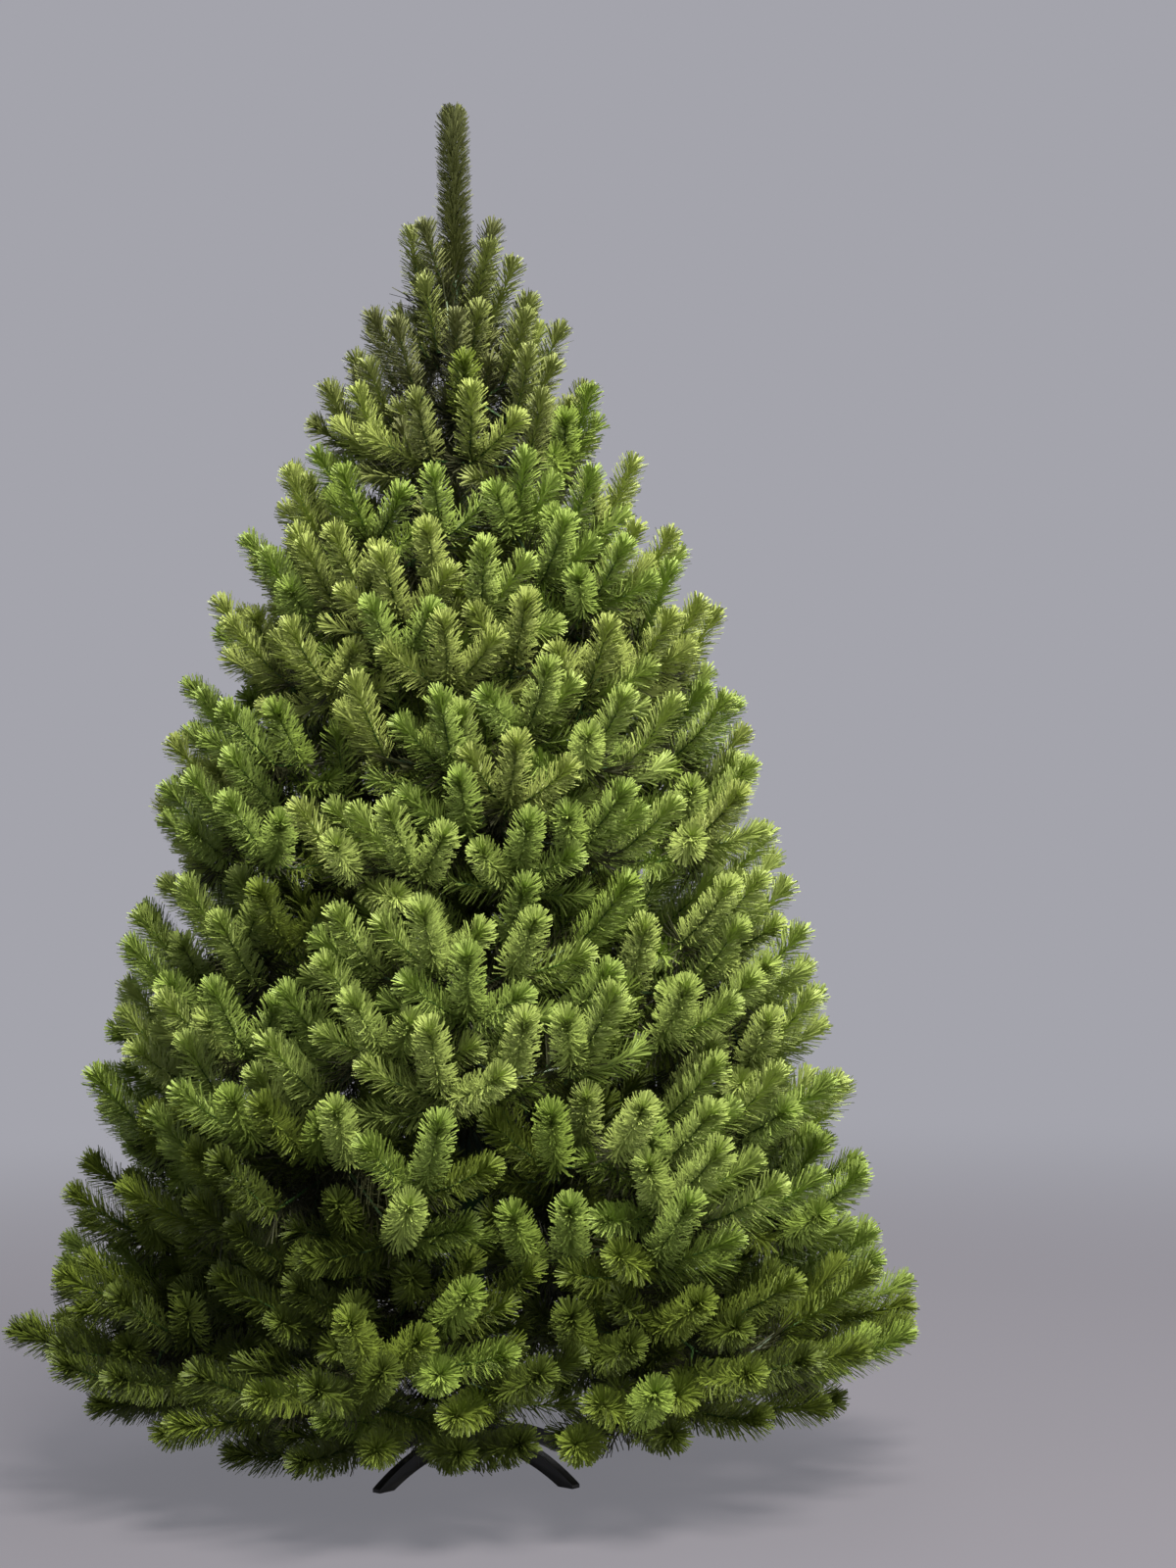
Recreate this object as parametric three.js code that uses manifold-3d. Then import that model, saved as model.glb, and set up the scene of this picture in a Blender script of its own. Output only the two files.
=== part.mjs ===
// An artificial Christmas tree on its folding steel stand, bare of decorations.
//
// A painted steel pole stands in the tube of the stand. Collars on the pole carry four tiers of
// boughs. Each bough is one steel rod that ends in a mass of foliage: a wire stem that forks into
// twigs, and each twig is wound with soft plastic needles into a round brush, called a shoot here.
// The two upper tiers are wired to the pole itself, and the leader stands on its end.
//
// Millimetres, +Z up. The origin is on the axis of the pole, at the floor.
import * as THREE from "three";
import { mergeVertices } from "three/addons/utils/BufferGeometryUtils.js";
import Module from "manifold-3d";

const wasm = await Module();
wasm.setup();

// ---------------------------------------------------------------- driving dimensions

const HEIGHT = 1800; // from the floor to the end of the leader
const REACH = 615; // from the axis to the crown's surface where it is widest
const CLEAR = 0.3; // gap between two pieces that touch
const ROUND = 12; // sides of a round piece

// The crown's surface: its radius as a share of REACH, against height as a share of HEIGHT.
const OUTLINE = [
  [0.06, 0.8],
  [0.118, 1],
  [0.22, 0.89],
  [0.37, 0.77],
  [0.5, 0.675],
  [0.67, 0.49],
  [0.8, 0.285],
  [0.915, 0.1],
];

// How steeply shoots rise, in degrees: they droop at the foot and stand nearly upright at the top.
const RISE = [
  [0.06, -4],
  [0.11, 14],
  [0.18, 34],
  [0.35, 48],
  [0.6, 54],
  [0.8, 62],
  [0.92, 72],
];

// Tiers of foliage, from the lowest: the band of heights that each covers on the crown's surface,
// its rows of shoots, how many masses stand round it and where the first one faces, the height of
// its limbs on the pole and at the surface, and how much of that way a bough carries each mass.
const TIERS = [
  { low: 76, high: 345, rows: 3, count: 6, turn: 12, root: 300, end: 225, bough: 0.42 },
  { low: 345, high: 595, rows: 2, count: 5, turn: 18, root: 440, end: 480, bough: 0.4 },
  { low: 595, high: 850, rows: 2, count: 5, turn: 54, root: 630, end: 725, bough: 0.38 },
  { low: 850, high: 1116, rows: 2, count: 4, turn: 10, root: 840, end: 980, bough: 0.36 },
  { low: 1100, high: 1380, rows: 3, count: 4, turn: 55, root: 1040, end: 1245, bough: 0 },
  { low: 1380, high: 1690, rows: 3, count: 3, turn: 30, root: 1290, end: 1520, bough: 0 },
];
const CROWN = { floor: 240, roof: 1560 }; // heights between which the masses keep on the pole

// A shoot at the foot of the tree, with its needles, the radius that they reach and the distance
// to the next shoot. Shoots get smaller and closer towards the top.
const SHOOT = { length: 160, needle: 55, reach: 48, spacing: 147, top: 0.62 };
const BELLY = { share: 0.45, radius: 15 }; // where the core of a shoot is fattest, and how fat
const NEEDLE_LEAN = 42; // degrees forward from square to the shoot

const STEM = 4; // radius of the stem of a mass
const TWIG = { foot: 1.2, end: 3.6 }; // a twig swells from its foot inside its limb to its brush
const BOUGH = { root: 5, tip: 4, sides: 6 };
const COLLAR = { radius: 34, height: 20, notch: 12, depth: 11 };

// The pole: two lengths of tube, the upper one sleeved into the lower, and a thin top length.
const POLE = { foot: 42, sleeve: 940, thin: 1400, top: 1575, lower: 16, upper: 14, end: 8, tip: 5 };

// The stand: an upright tube with a wider foot, four pressed legs and two thumb screws.
const TUBE = { bottom: 30, top: 205, outer: 19.5, foot: 23, shoulder: 64, neck: 70 };
const LEG = { reach: 182, width: 14, foot: 26, toe: 5, high: 60, low: 36, count: 4 };
const SCREW = { z: 178, radius: 3, length: 34, wing: 22, thick: 3, turns: [20, 200] };

// ---------------------------------------------------------------- arithmetic

const UP = new THREE.Vector3(0, 0, 1);
const ACROSS = new THREE.Vector3(1, 0, 0);
const TURN = 2 * Math.PI;
const lerp = THREE.MathUtils.lerp;
const radians = THREE.MathUtils.degToRad;

const polar = (radius, angle, z) =>
  new THREE.Vector3(radius * Math.cos(angle), radius * Math.sin(angle), z);

// A value at a height, read from a list of [share of HEIGHT, value] points.
function along(points, z) {
  const share = z / HEIGHT;
  const next = points.findIndex((point) => point[0] >= share);
  if (next === 0) return points[0][1];
  if (next < 0) return points.at(-1)[1];
  const [[z0, v0], [z1, v1]] = [points[next - 1], points[next]];
  return lerp(v0, v1, (share - z0) / (z1 - z0));
}

const reachAt = (z) => REACH * along(OUTLINE, z);
const sizeAt = (z) => lerp(1, SHOOT.top, z / HEIGHT);

// Repeatable random numbers between -1 and 1.
function seeded(seed) {
  let state = 7919 * seed + 104729;
  return () => {
    state = (state * 16807) % 2147483647;
    return (2 * state) / 2147483647 - 1;
  };
}

// ---------------------------------------------------------------- solids

// A geometry with its corners' places alone, each corner shared by the faces that meet there.
function bare(geometry) {
  return mergeVertices(geometry.clone().deleteAttribute("normal").deleteAttribute("uv"), 1e-4);
}

// A three.js geometry as a solid, without its empty faces.
function solidOf(geometry) {
  const merged = bare(geometry);
  const corners = Array.from(merged.index.array);
  const faces = [];
  for (let i = 0; i < corners.length; i += 3) {
    const [a, b, c] = corners.slice(i, i + 3);
    if (a !== b && b !== c && c !== a) faces.push(a, b, c);
  }
  return new wasm.Manifold(
    new wasm.Mesh({
      numProp: 3,
      vertProperties: new Float32Array(merged.attributes.position.array),
      triVerts: new Uint32Array(faces),
    }),
  );
}

// A solid as a three.js geometry. Of a solid in several pieces it keeps the largest, so that a
// hollow sealed by fusing is filled and a loose scrap is dropped.
function geometryOf(solid) {
  const pieces = solid.decompose();
  const largest = pieces.reduce((best, piece) => (piece.volume() > best.volume() ? piece : best));
  const mesh = largest.getMesh();
  return new THREE.BufferGeometry()
    .setAttribute("position", new THREE.BufferAttribute(new Float32Array(mesh.vertProperties), 3))
    .setIndex(new THREE.BufferAttribute(new Uint32Array(mesh.triVerts), 1));
}

// A lathe turned about Z, where three.js turns one about Y.
function turned(profile) {
  const points = profile.map(([radius, z]) => new THREE.Vector2(radius, z));
  return new THREE.LatheGeometry(points, ROUND).rotateX(Math.PI / 2);
}

// A needle on a face of a shoot, leaning forward: a spike of three faces in place of that one.
function needleOn(face, corners, from, to, length) {
  const end = face.reduce((sum, c) => sum.add(corners[c]), new THREE.Vector3()).divideScalar(3);
  const ahead = to.clone().sub(from).normalize();
  const out = end.clone().sub(from);
  out.addScaledVector(ahead, -out.dot(ahead)).normalize();
  end.addScaledVector(out, length * Math.cos(radians(NEEDLE_LEAN)));
  end.addScaledVector(ahead, length * Math.sin(radians(NEEDLE_LEAN)));
  const tip = corners.push(end) - 1;
  const [a, b, c] = face;
  return [a, b, tip, b, c, tip, c, a, tip];
}

// A closed skin round a line of points, with a ring of `sides` corners at each, or a single corner
// where the radius is zero. Each ring is turned half a side from the one before. From the ring
// numbered `needled` on, a needle of the given length stands on every face.
function skin(points, radii, sides, needled = Infinity, needle = 0) {
  const corners = [];
  const rings = points.map((point, i) => {
    const before = points[Math.max(i - 1, 0)];
    const after = points[Math.min(i + 1, points.length - 1)];
    const ahead = after.clone().sub(before).normalize();
    const side = ahead.clone().cross(Math.abs(ahead.z) > 0.9 ? ACROSS : UP).normalize();
    const other = ahead.clone().cross(side);
    return Array.from({ length: radii[i] > 0 ? sides : 1 }, (_, k) => {
      const angle = (TURN * (k + i / 2)) / sides;
      const out = side.clone().multiplyScalar(Math.cos(angle) * radii[i]);
      return corners.push(out.addScaledVector(other, Math.sin(angle) * radii[i]).add(point)) - 1;
    });
  });
  const faces = [];
  const cap = (ring, flip) => {
    for (let k = 1; k < ring.length - 1; k++) {
      faces.push(ring[0], ring[flip ? k + 1 : k], ring[flip ? k : k + 1]);
    }
  };
  const place = (i, face) => {
    const bareFace = i < needled;
    faces.push(...(bareFace ? face : needleOn(face, corners, points[i], points[i + 1], needle)));
  };
  cap(rings[0], true);
  for (let i = 0; i < points.length - 1; i++) {
    const [ring, later] = [rings[i], rings[i + 1]];
    for (let k = 0; k < sides; k++) {
      const next = (k + 1) % sides;
      place(i, [ring[k], ring[next], later[later.length > 1 ? k : 0]]);
      if (later.length > 1) place(i, [ring[next], later[next], later[k]]);
    }
  }
  cap(rings.at(-1), false);
  return new THREE.BufferGeometry()
    .setAttribute("position", new THREE.Float32BufferAttribute(corners.flatMap((c) => c.toArray()), 3))
    .setIndex(faces);
}

// ---------------------------------------------------------------- materials

const painted = (color) => new THREE.MeshStandardMaterial({ color, roughness: 0.5, metalness: 0.4 });
const standPaint = painted(0x1c2a1c);
const polePaint = painted(0x2c4a2a);
const boughPaint = painted(0x32502a);
const collarPlastic = new THREE.MeshStandardMaterial({ color: 0x1f3320, roughness: 0.6 });
const zinc = new THREE.MeshStandardMaterial({ color: 0xa8aaac, roughness: 0.35, metalness: 0.9 });
const needlePlastic = new THREE.MeshStandardMaterial({ color: 0x5d7a32, roughness: 0.6 });

const tree = new THREE.Group();

function add(name, geometry, material, parent = tree) {
  const mesh = new THREE.Mesh(geometry, material);
  mesh.name = name;
  parent.add(mesh);
  return mesh;
}

// ---------------------------------------------------------------- pole

// The pole, grown by `room` all round. It ends inside the tube of the stand, above its floor.
function poleShape(room) {
  return turned([
    [0, POLE.foot - room],
    [POLE.lower + room, POLE.foot - room],
    [POLE.lower + room, POLE.sleeve + room],
    [POLE.upper + room, POLE.sleeve + 3 + room],
    [POLE.upper + room, POLE.thin + room],
    [POLE.end + room, POLE.thin + 5 + room],
    [POLE.end + room, POLE.top - 12],
    [POLE.tip + room, POLE.top + room],
    [0, POLE.top + room],
  ]);
}

const POLE_ROOM = CLEAR + 0.1; // what fits round the pole is a little wider, for its flat sides
add("pole", poleShape(0), polePaint);
const roomForPole = solidOf(poleShape(POLE_ROOM));

// ---------------------------------------------------------------- stand

function standTube() {
  const inner = POLE.lower + POLE_ROOM;
  return turned([
    [0, TUBE.bottom],
    [TUBE.foot, TUBE.bottom],
    [TUBE.foot, TUBE.shoulder],
    [TUBE.outer, TUBE.neck],
    [TUBE.outer, TUBE.top],
    [inner, TUBE.top],
    [inner, POLE.foot - POLE_ROOM],
    [0, POLE.foot - POLE_ROOM],
  ]);
}

// A leg seen from its side: a tapering arm that arches down from the tube to a flat foot.
function standLeg() {
  const root = TUBE.foot * Math.cos(Math.PI / ROUND) + CLEAR;
  const outline = new THREE.Shape();
  outline.moveTo(root, LEG.low);
  outline.quadraticCurveTo(LEG.reach / 2, LEG.low, LEG.reach - LEG.foot, 0);
  outline.lineTo(LEG.reach, 0);
  outline.lineTo(LEG.reach, LEG.toe);
  outline.quadraticCurveTo(0.6 * LEG.reach, LEG.high - LEG.toe, root, LEG.high);
  const options = { depth: LEG.width, bevelEnabled: false, curveSegments: 6 };
  return new THREE.ExtrudeGeometry(outline, options)
    .translate(0, 0, -LEG.width / 2)
    .rotateX(Math.PI / 2);
}

// A thumb screw: a short rod that stands out of the tube's side, with a flat wing on its end.
function thumbScrew() {
  const { radius, length, wing, thick } = SCREW;
  const rod = new THREE.CylinderGeometry(radius, radius, length, 10);
  rod.rotateZ(Math.PI / 2).translate(TUBE.outer + CLEAR + length / 2, 0, 0);
  const end = TUBE.outer + length;
  const outline = new THREE.Shape();
  outline.moveTo(end - 10, -radius);
  outline.quadraticCurveTo(end + 2, -wing, end + 12, -wing / 2);
  outline.quadraticCurveTo(end + 4, 0, end + 12, wing / 2);
  outline.quadraticCurveTo(end + 2, wing, end - 10, radius);
  const plate = new THREE.ExtrudeGeometry(outline, {
    depth: thick,
    bevelEnabled: false,
    curveSegments: 4,
  });
  plate.rotateX(Math.PI / 2).translate(0, thick / 2, 0);
  return geometryOf(solidOf(rod).add(solidOf(plate)));
}

const stand = new THREE.Group();
tree.add(stand);
add("stand_tube", standTube(), standPaint, stand);
for (let i = 0; i < LEG.count; i++) {
  const leg = add(`stand_leg_${i + 1}`, standLeg(), standPaint, stand);
  leg.rotation.z = (TURN * (i + 0.5)) / LEG.count;
}
SCREW.turns.forEach((turn, i) => {
  const screw = add(`thumb_screw_${i + 1}`, thumbScrew(), zinc, stand);
  screw.position.z = SCREW.z;
  screw.rotation.z = radians(turn);
});

// ---------------------------------------------------------------- collars

// A collar clamped round the pole, with a notch for the root of each bough of its tier.
function collar(tier) {
  const [inner, half] = [POLE.lower + POLE_ROOM, COLLAR.height / 2];
  const ring = turned([
    [inner, -half],
    [COLLAR.radius, -half],
    [COLLAR.radius, half],
    [inner, half],
    [inner, -half],
  ]);
  let solid = solidOf(ring);
  for (let i = 0; i < tier.count; i++) {
    const notch = new THREE.BoxGeometry(2 * COLLAR.depth, COLLAR.notch, 2 * COLLAR.height);
    const angle = radians(tier.turn) + (TURN * i) / tier.count;
    solid = solid.subtract(solidOf(notch.translate(COLLAR.radius, 0, 0).rotateZ(angle)));
  }
  return geometryOf(solid);
}

const boughTiers = TIERS.filter((tier) => tier.bough);
boughTiers.forEach((tier, t) => {
  const ring = add(`branch_collar_${t + 1}`, collar(tier), collarPlastic);
  ring.position.z = tier.root;
});

// ---------------------------------------------------------------- space of a mass

// The heights between which each tier keeps on the pole: half way to its neighbours' roots.
TIERS.forEach((tier, t) => {
  tier.floor = t > 0 ? (TIERS[t - 1].root + tier.root) / 2 : CROWN.floor;
  tier.roof = t < TIERS.length - 1 ? (TIERS[t + 1].root + tier.root) / 2 : CROWN.roof;
});

// A point in the space that a mass keeps to: `share` of the way from the pole to the crown's
// surface, `across` from one side (-1) to the other (1), and `level` from the low edge of its tier
// (0) to the high one (1). `inset` is kept free at the two sides.
function inSpace({ tier, angle }, share, across, level, inset = 0) {
  const z = lerp(tier.low, tier.high, level);
  const radius = share * reachAt(z);
  const half = Math.PI / tier.count - inset / Math.max(radius, inset);
  return polar(radius, angle + across * half, lerp(lerp(tier.floor, tier.roof, level), z, share));
}

// Cores: how much of the tier's height they take each side of its middle, the room left at their
// sides, where they start past the bough or the pole, how many lengths of a shoot they stay below
// the surface, and how far their corners are drawn in and moved.
const CORE = { level: 0.46, inset: 26, past: 0.08, pole: 0.2, shoots: 1.25, round: 0.26, uneven: 0.11 };

// The dense heart of a mass, which its shoots stand out of: a block in the mass's space, rounded
// off and uneven, grown by `room` all round.
function coreOf(mass, room) {
  const random = seeded(mass.seed);
  const block = bare(new THREE.BoxGeometry(2, 2, 2, 2, 2, 2));
  const places = block.attributes.position;
  const first = Math.max(mass.tier.bough + CORE.past, CORE.pole);
  const height = mass.tier.high - mass.tier.low;
  for (let i = 0; i < places.count; i++) {
    const point = new THREE.Vector3().fromBufferAttribute(places, i);
    point.multiplyScalar(1 - CORE.round * (point.length() - 1));
    point.addScaledVector(new THREE.Vector3(random(), random(), random()), CORE.uneven);
    const level = 0.5 + CORE.level * point.z;
    const surface = inSpace(mass, 1, 0, level);
    const way = surface.distanceTo(mass.root);
    const last = 1 - (CORE.shoots * SHOOT.length * sizeAt(surface.z)) / way;
    const share = lerp(first, last, (point.x + 1) / 2) + (point.x * room) / way;
    const grown = level + (point.z * room) / height;
    places.setXYZ(i, ...inSpace(mass, share, point.y, grown, CORE.inset - room).toArray());
  }
  return solidOf(block);
}

// ---------------------------------------------------------------- growth

// Everything grown so far, as rods with round ends: the piece that each belongs to, its two ends
// and its radius.
const grown = [];

// The least distance between the axes of two rods.
function apart(one, two) {
  const [d1, d2] = [one, two].map((rod) => rod.to.clone().sub(rod.from));
  const gap = one.from.clone().sub(two.from);
  const clamp = (x) => THREE.MathUtils.clamp(x, 0, 1);
  const cross = d1.dot(d2);
  const spread = d1.lengthSq() * d2.lengthSq() - cross * cross;
  let s = spread > 1e-9 ? clamp((cross * d2.dot(gap) - d1.dot(gap) * d2.lengthSq()) / spread) : 0;
  const t = clamp((cross * s + d2.dot(gap)) / d2.lengthSq());
  s = clamp((cross * t - d1.dot(gap)) / d1.lengthSq());
  return d1.multiplyScalar(s).add(gap).distanceTo(d2.multiplyScalar(t));
}

const CROWDING = 0.8; // shoots of one mass come no closer than this share of their widths

// Whether a new rod keeps clear of all that is grown, but for the limb that carries it.
function fits(rod, parent) {
  return grown.every((other) => {
    if (other === parent) return true;
    const room = rod.radius + other.radius;
    if (other.owner !== rod.owner) return apart(rod, other) > room + 2 * CLEAR;
    return !other.brush || !rod.brush || apart(rod, other) > CROWDING * room;
  });
}

// Where twigs may leave a limb, as shares of its length.
const FORKS = { stem: [0.08, 0.24, 0.4, 0.56, 0.72, 0.9], twig: [0.45, 0.6, 0.75, 0.92] };

// Where on the limbs of a mass the twig of a shoot that starts at `root` leaves: near it, and
// leaning forward along its limb.
function forkFor(mass, root) {
  let best = null;
  for (const limb of mass.limbs) {
    const ahead = limb.to.clone().sub(limb.from).normalize();
    for (const share of limb === mass.limbs[0] ? FORKS.stem : FORKS.twig) {
      const point = limb.from.clone().lerp(limb.to, share);
      const way = root.clone().sub(point);
      const cost = way.length() * (1.9 - way.normalize().dot(ahead));
      if (!best || cost < best.cost) best = { point, limb, cost };
    }
  }
  return best;
}

const FAN = 0.12; // how far shoots rise like a fan from the start of their mass, not as RISE says

// The shoot whose end is at `tip`, spreading from the start of its mass, `extra` degrees steeper
// than is usual at its height.
function shootTo(mass, tip, extra) {
  const out = tip.clone().sub(mass.start);
  const fan = Math.atan2(out.z, Math.hypot(out.x, out.y));
  const angle = lerp(radians(along(RISE, tip.z)), fan, FAN) + radians(extra);
  const ahead = out.setZ(0).normalize().multiplyScalar(Math.cos(angle));
  ahead.addScaledVector(UP, Math.sin(angle));
  return { tip, root: tip.clone().addScaledVector(ahead, -SHOOT.length * sizeAt(tip.z)) };
}

// The solid of a shoot with the limb that brings it from `from`, and that limb and its brush of
// needles as rods.
function shootFrom(owner, from, { root, tip }, radius) {
  const size = sizeAt(tip.z);
  const stations = [from, root, root.clone().lerp(tip, BELLY.share), tip];
  const radii = [radius, TWIG.end, BELLY.radius * size, 0];
  const near = root.clone().lerp(tip, 0.15);
  const far = root.clone().lerp(tip, 0.75);
  return {
    solid: solidOf(skin(stations, radii, 3, 1, SHOOT.needle * size)),
    limb: { owner, from, to: root, radius: Math.max(radius, TWIG.end) },
    brush: { owner, from: near, to: far, radius: SHOOT.reach * size, brush: true },
  };
}

// Adds a shoot and its twig to a mass, if they fit.
function grow(mass, place) {
  const fork = forkFor(mass, place.root);
  const { solid, limb, brush } = shootFrom(mass.name, fork.point, place, TWIG.foot);
  if (!fits(limb, fork.limb) || !fits(brush, fork.limb)) return false;
  const others = masses.filter((other) => other !== mass);
  if (others.some((other) => other.room.intersect(solid).volume() > 0)) return false;
  grown.push(limb, brush);
  mass.limbs.push(limb);
  mass.solids.push(solid);
  return true;
}

// The places where the shoots of a mass end: rows and columns over its share of the crown's
// surface, each row set half a column from the one below, nearest to the middle first. A place is
// a function, so that each call moves it a little.
function placesOf(mass) {
  const { tier, random } = mass;
  const places = [];
  for (let row = 0; row < tier.rows; row++) {
    const level = (row + 0.5) / tier.rows;
    const arc = (TURN / tier.count) * reachAt(lerp(tier.low, tier.high, level));
    const columns = Math.max(1, Math.round(arc / (SHOOT.spacing * sizeAt(tier.end))));
    for (let column = 0; column < columns; column++) {
      const across = (2 * column + 1 + (row % 2 ? 0.5 : -0.5)) / columns - 1;
      places.push({ level, across, columns });
    }
  }
  places.sort((a, b) => Math.abs(a.across) - Math.abs(b.across));
  return places.map((place) => () => {
    const share = 1 - 0.03 * (1 + random());
    const across = place.across + (0.4 * random()) / place.columns;
    const level = place.level + (0.22 * random()) / tier.rows;
    return shootTo(mass, inSpace(mass, share, across, level), 10 * random());
  });
}

const masses = [];
TIERS.forEach((tier, t) => {
  for (let i = 0; i < tier.count; i++) {
    const name = `foliage_${t + 1}_${i + 1}`;
    const seed = 10 * t + i + 1;
    const angle = radians(tier.turn) + (TURN * i) / tier.count;
    const end = polar(reachAt(tier.end), angle, tier.end);
    const root = polar(0, angle, tier.root);
    const start = root.clone().lerp(end, tier.bough);
    const mass = { name, seed, random: seeded(seed), tier, angle, root, start, end };
    if (tier.bough) {
      const lean = Math.abs(tier.end - tier.root) / reachAt(tier.end);
      const foot = COLLAR.radius - COLLAR.depth + CLEAR + BOUGH.root * lean;
      const from = polar(foot, angle, tier.root);
      mass.bough = { owner: `bough_${t + 1}_${i + 1}`, from, to: start, radius: BOUGH.root };
      grown.push(mass.bough);
    }
    mass.core = coreOf(mass, 0);
    mass.room = coreOf(mass, 10 * CLEAR);
    mass.limbs = [];
    mass.solids = [mass.core];
    masses.push(mass);
  }
});
boughTiers.forEach((tier, t) => {
  const half = COLLAR.height / 2;
  const [from, to] = [polar(0, 0, tier.root - half), polar(0, 0, tier.root + half)];
  grown.push({ owner: `branch_collar_${t + 1}`, from, to, radius: COLLAR.radius });
});
const poleEnds = { from: polar(0, 0, POLE.foot), to: polar(0, 0, POLE.top) };
grown.push({ owner: "pole", ...poleEnds, radius: POLE.lower });

// The stem of each mass runs on from its bough, or from the pole, and ends in a shoot of its own.
for (const mass of masses) {
  const { solid, limb, brush } = shootFrom(mass.name, mass.start, shootTo(mass, mass.end, 0), STEM);
  grown.push(limb, brush);
  mass.limbs.push(limb);
  mass.solids.push(solid);
}

// The leader stands on the end of the pole, a longer and slimmer shoot than the others.
const LEADER = { foot: 3, brush: 1590, radius: 6, needle: 21, reach: 24, stations: 4, sides: 4 };
const leaderLine = Array.from({ length: LEADER.stations + 1 }, (_, i) =>
  polar(0, 0, lerp(LEADER.brush, HEIGHT, i / LEADER.stations)),
);
grown.push({ owner: "leader", from: leaderLine[0], to: leaderLine.at(-1), radius: LEADER.reach });
const leaderRadii = leaderLine.map((_, i) => (i < LEADER.stations ? LEADER.radius : 0));
leaderLine.unshift(polar(0, 0, POLE.top + CLEAR));
leaderRadii.unshift(LEADER.foot);
add("leader", skin(leaderLine, leaderRadii, LEADER.sides, 1, LEADER.needle), needlePlastic);

// The masses grow in turn, one shoot each, so that none takes the room of its neighbours. A shoot
// that doesn't fit is moved a little, and after so many tries it is left out.
const TRIES = 10;
for (const mass of masses) mass.places = placesOf(mass);
for (let turn = 0; masses.some((mass) => turn < mass.places.length); turn++) {
  for (const mass of masses.filter((one) => turn < one.places.length)) {
    let done = false;
    for (let i = 0; i < TRIES && !done; i++) done = grow(mass, mass.places[turn]());
  }
}

// ---------------------------------------------------------------- boughs and masses

// The rod of a bough, grown by `room` all round and past its end.
function boughRod({ from, to }, room) {
  const end = to.clone().addScaledVector(to.clone().sub(from).normalize(), room);
  return skin([from, end], [BOUGH.root + room, BOUGH.tip + room], BOUGH.sides);
}

const SHORT_EDGE = 0.05; // edges of a mass under this length are drawn together

for (const mass of masses) {
  if (mass.bough) add(mass.bough.owner, boughRod(mass.bough, 0), boughPaint);
  const hole = mass.bough ? solidOf(boughRod(mass.bough, CLEAR)) : roomForPole;
  const whole = wasm.Manifold.union(mass.solids).subtract(hole).simplify(SHORT_EDGE);
  add(mass.name, geometryOf(whole), needlePlastic);
}

export default tree;
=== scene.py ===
# The looks of an artificial Christmas tree, bare of decorations, on its folding steel stand.
# Metres, +Z up, the origin on the axis of the pole at the floor. The pieces follow the order in
# which the tree is put together: stand, pole, collars, boughs, wire twigs, needles and leader.
import math

import bmesh
import bpy
import numpy as np
from mathutils import Matrix, Vector, noise


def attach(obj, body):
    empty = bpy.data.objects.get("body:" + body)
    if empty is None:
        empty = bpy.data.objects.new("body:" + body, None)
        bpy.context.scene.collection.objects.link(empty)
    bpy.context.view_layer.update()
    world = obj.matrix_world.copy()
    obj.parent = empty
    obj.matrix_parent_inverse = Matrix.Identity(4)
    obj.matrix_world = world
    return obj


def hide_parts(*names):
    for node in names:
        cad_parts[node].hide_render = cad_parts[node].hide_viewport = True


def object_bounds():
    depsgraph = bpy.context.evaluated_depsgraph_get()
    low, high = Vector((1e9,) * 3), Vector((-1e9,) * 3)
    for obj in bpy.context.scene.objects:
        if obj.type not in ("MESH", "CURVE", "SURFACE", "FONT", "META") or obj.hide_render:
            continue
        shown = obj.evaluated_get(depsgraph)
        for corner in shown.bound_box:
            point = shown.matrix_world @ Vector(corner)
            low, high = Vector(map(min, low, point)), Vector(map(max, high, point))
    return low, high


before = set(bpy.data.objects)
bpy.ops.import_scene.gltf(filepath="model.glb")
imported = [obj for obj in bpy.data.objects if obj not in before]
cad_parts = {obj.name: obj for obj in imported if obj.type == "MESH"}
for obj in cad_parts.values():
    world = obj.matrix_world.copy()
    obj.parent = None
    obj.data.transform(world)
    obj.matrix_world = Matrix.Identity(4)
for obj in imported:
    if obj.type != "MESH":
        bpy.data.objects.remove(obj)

cad_box = [list(corner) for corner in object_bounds()]

# ---------------- room and camera
# A plain pale studio: seamless paper under a soft grey surround, a large soft lamp high in front,
# a weak one low on the right, and one behind. The camera stands five metres in front of the tree
# at chest height, turned a little to the right of it and not quite level.

MM = 0.001
TURN = 2 * math.pi


def linear(code):
    """A colour written in sRGB hex, such as 8fa648, as linear red, green, blue and alpha."""
    shares = [int(code[i : i + 2], 16) / 255 for i in (0, 2, 4)]
    return [c / 12.92 if c <= 0.04045 else ((c + 0.055) / 1.055) ** 2.4 for c in shares] + [1.0]


def node(tree, kind, settings=None, links=None):
    """Adds a shader node, sets its properties and sockets, and links sockets from other nodes."""
    made = tree.nodes.new("ShaderNode" + kind)
    for name, value in (settings or {}).items():
        if isinstance(name, str) and hasattr(made, name):
            setattr(made, name, value)
        else:
            made.inputs[name].default_value = value
    for name, source in (links or {}).items():
        tree.links.new(source, made.inputs[name])
    return made


def finish_named(name):
    """A new material with an empty node tree, and that tree."""
    material = bpy.data.materials.new(name)
    material.use_nodes = True
    material.node_tree.nodes.clear()
    return material, material.node_tree


SURROUND = linear("a4a4ac")
FLOOR_RADIUS = 40.0
FLOOR_NEAR = 1.6  # the floor takes light and shade up to here
FLOOR_FAR = 4.2  # and has melted into the surround from here on
# Painted light: the near floor glows with the surround's colour, which lifts the tree's shadow on it.
PAINTED_FLOOR_GLOW = 0.45  # share of the surround's own light that the near floor sends back


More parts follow.
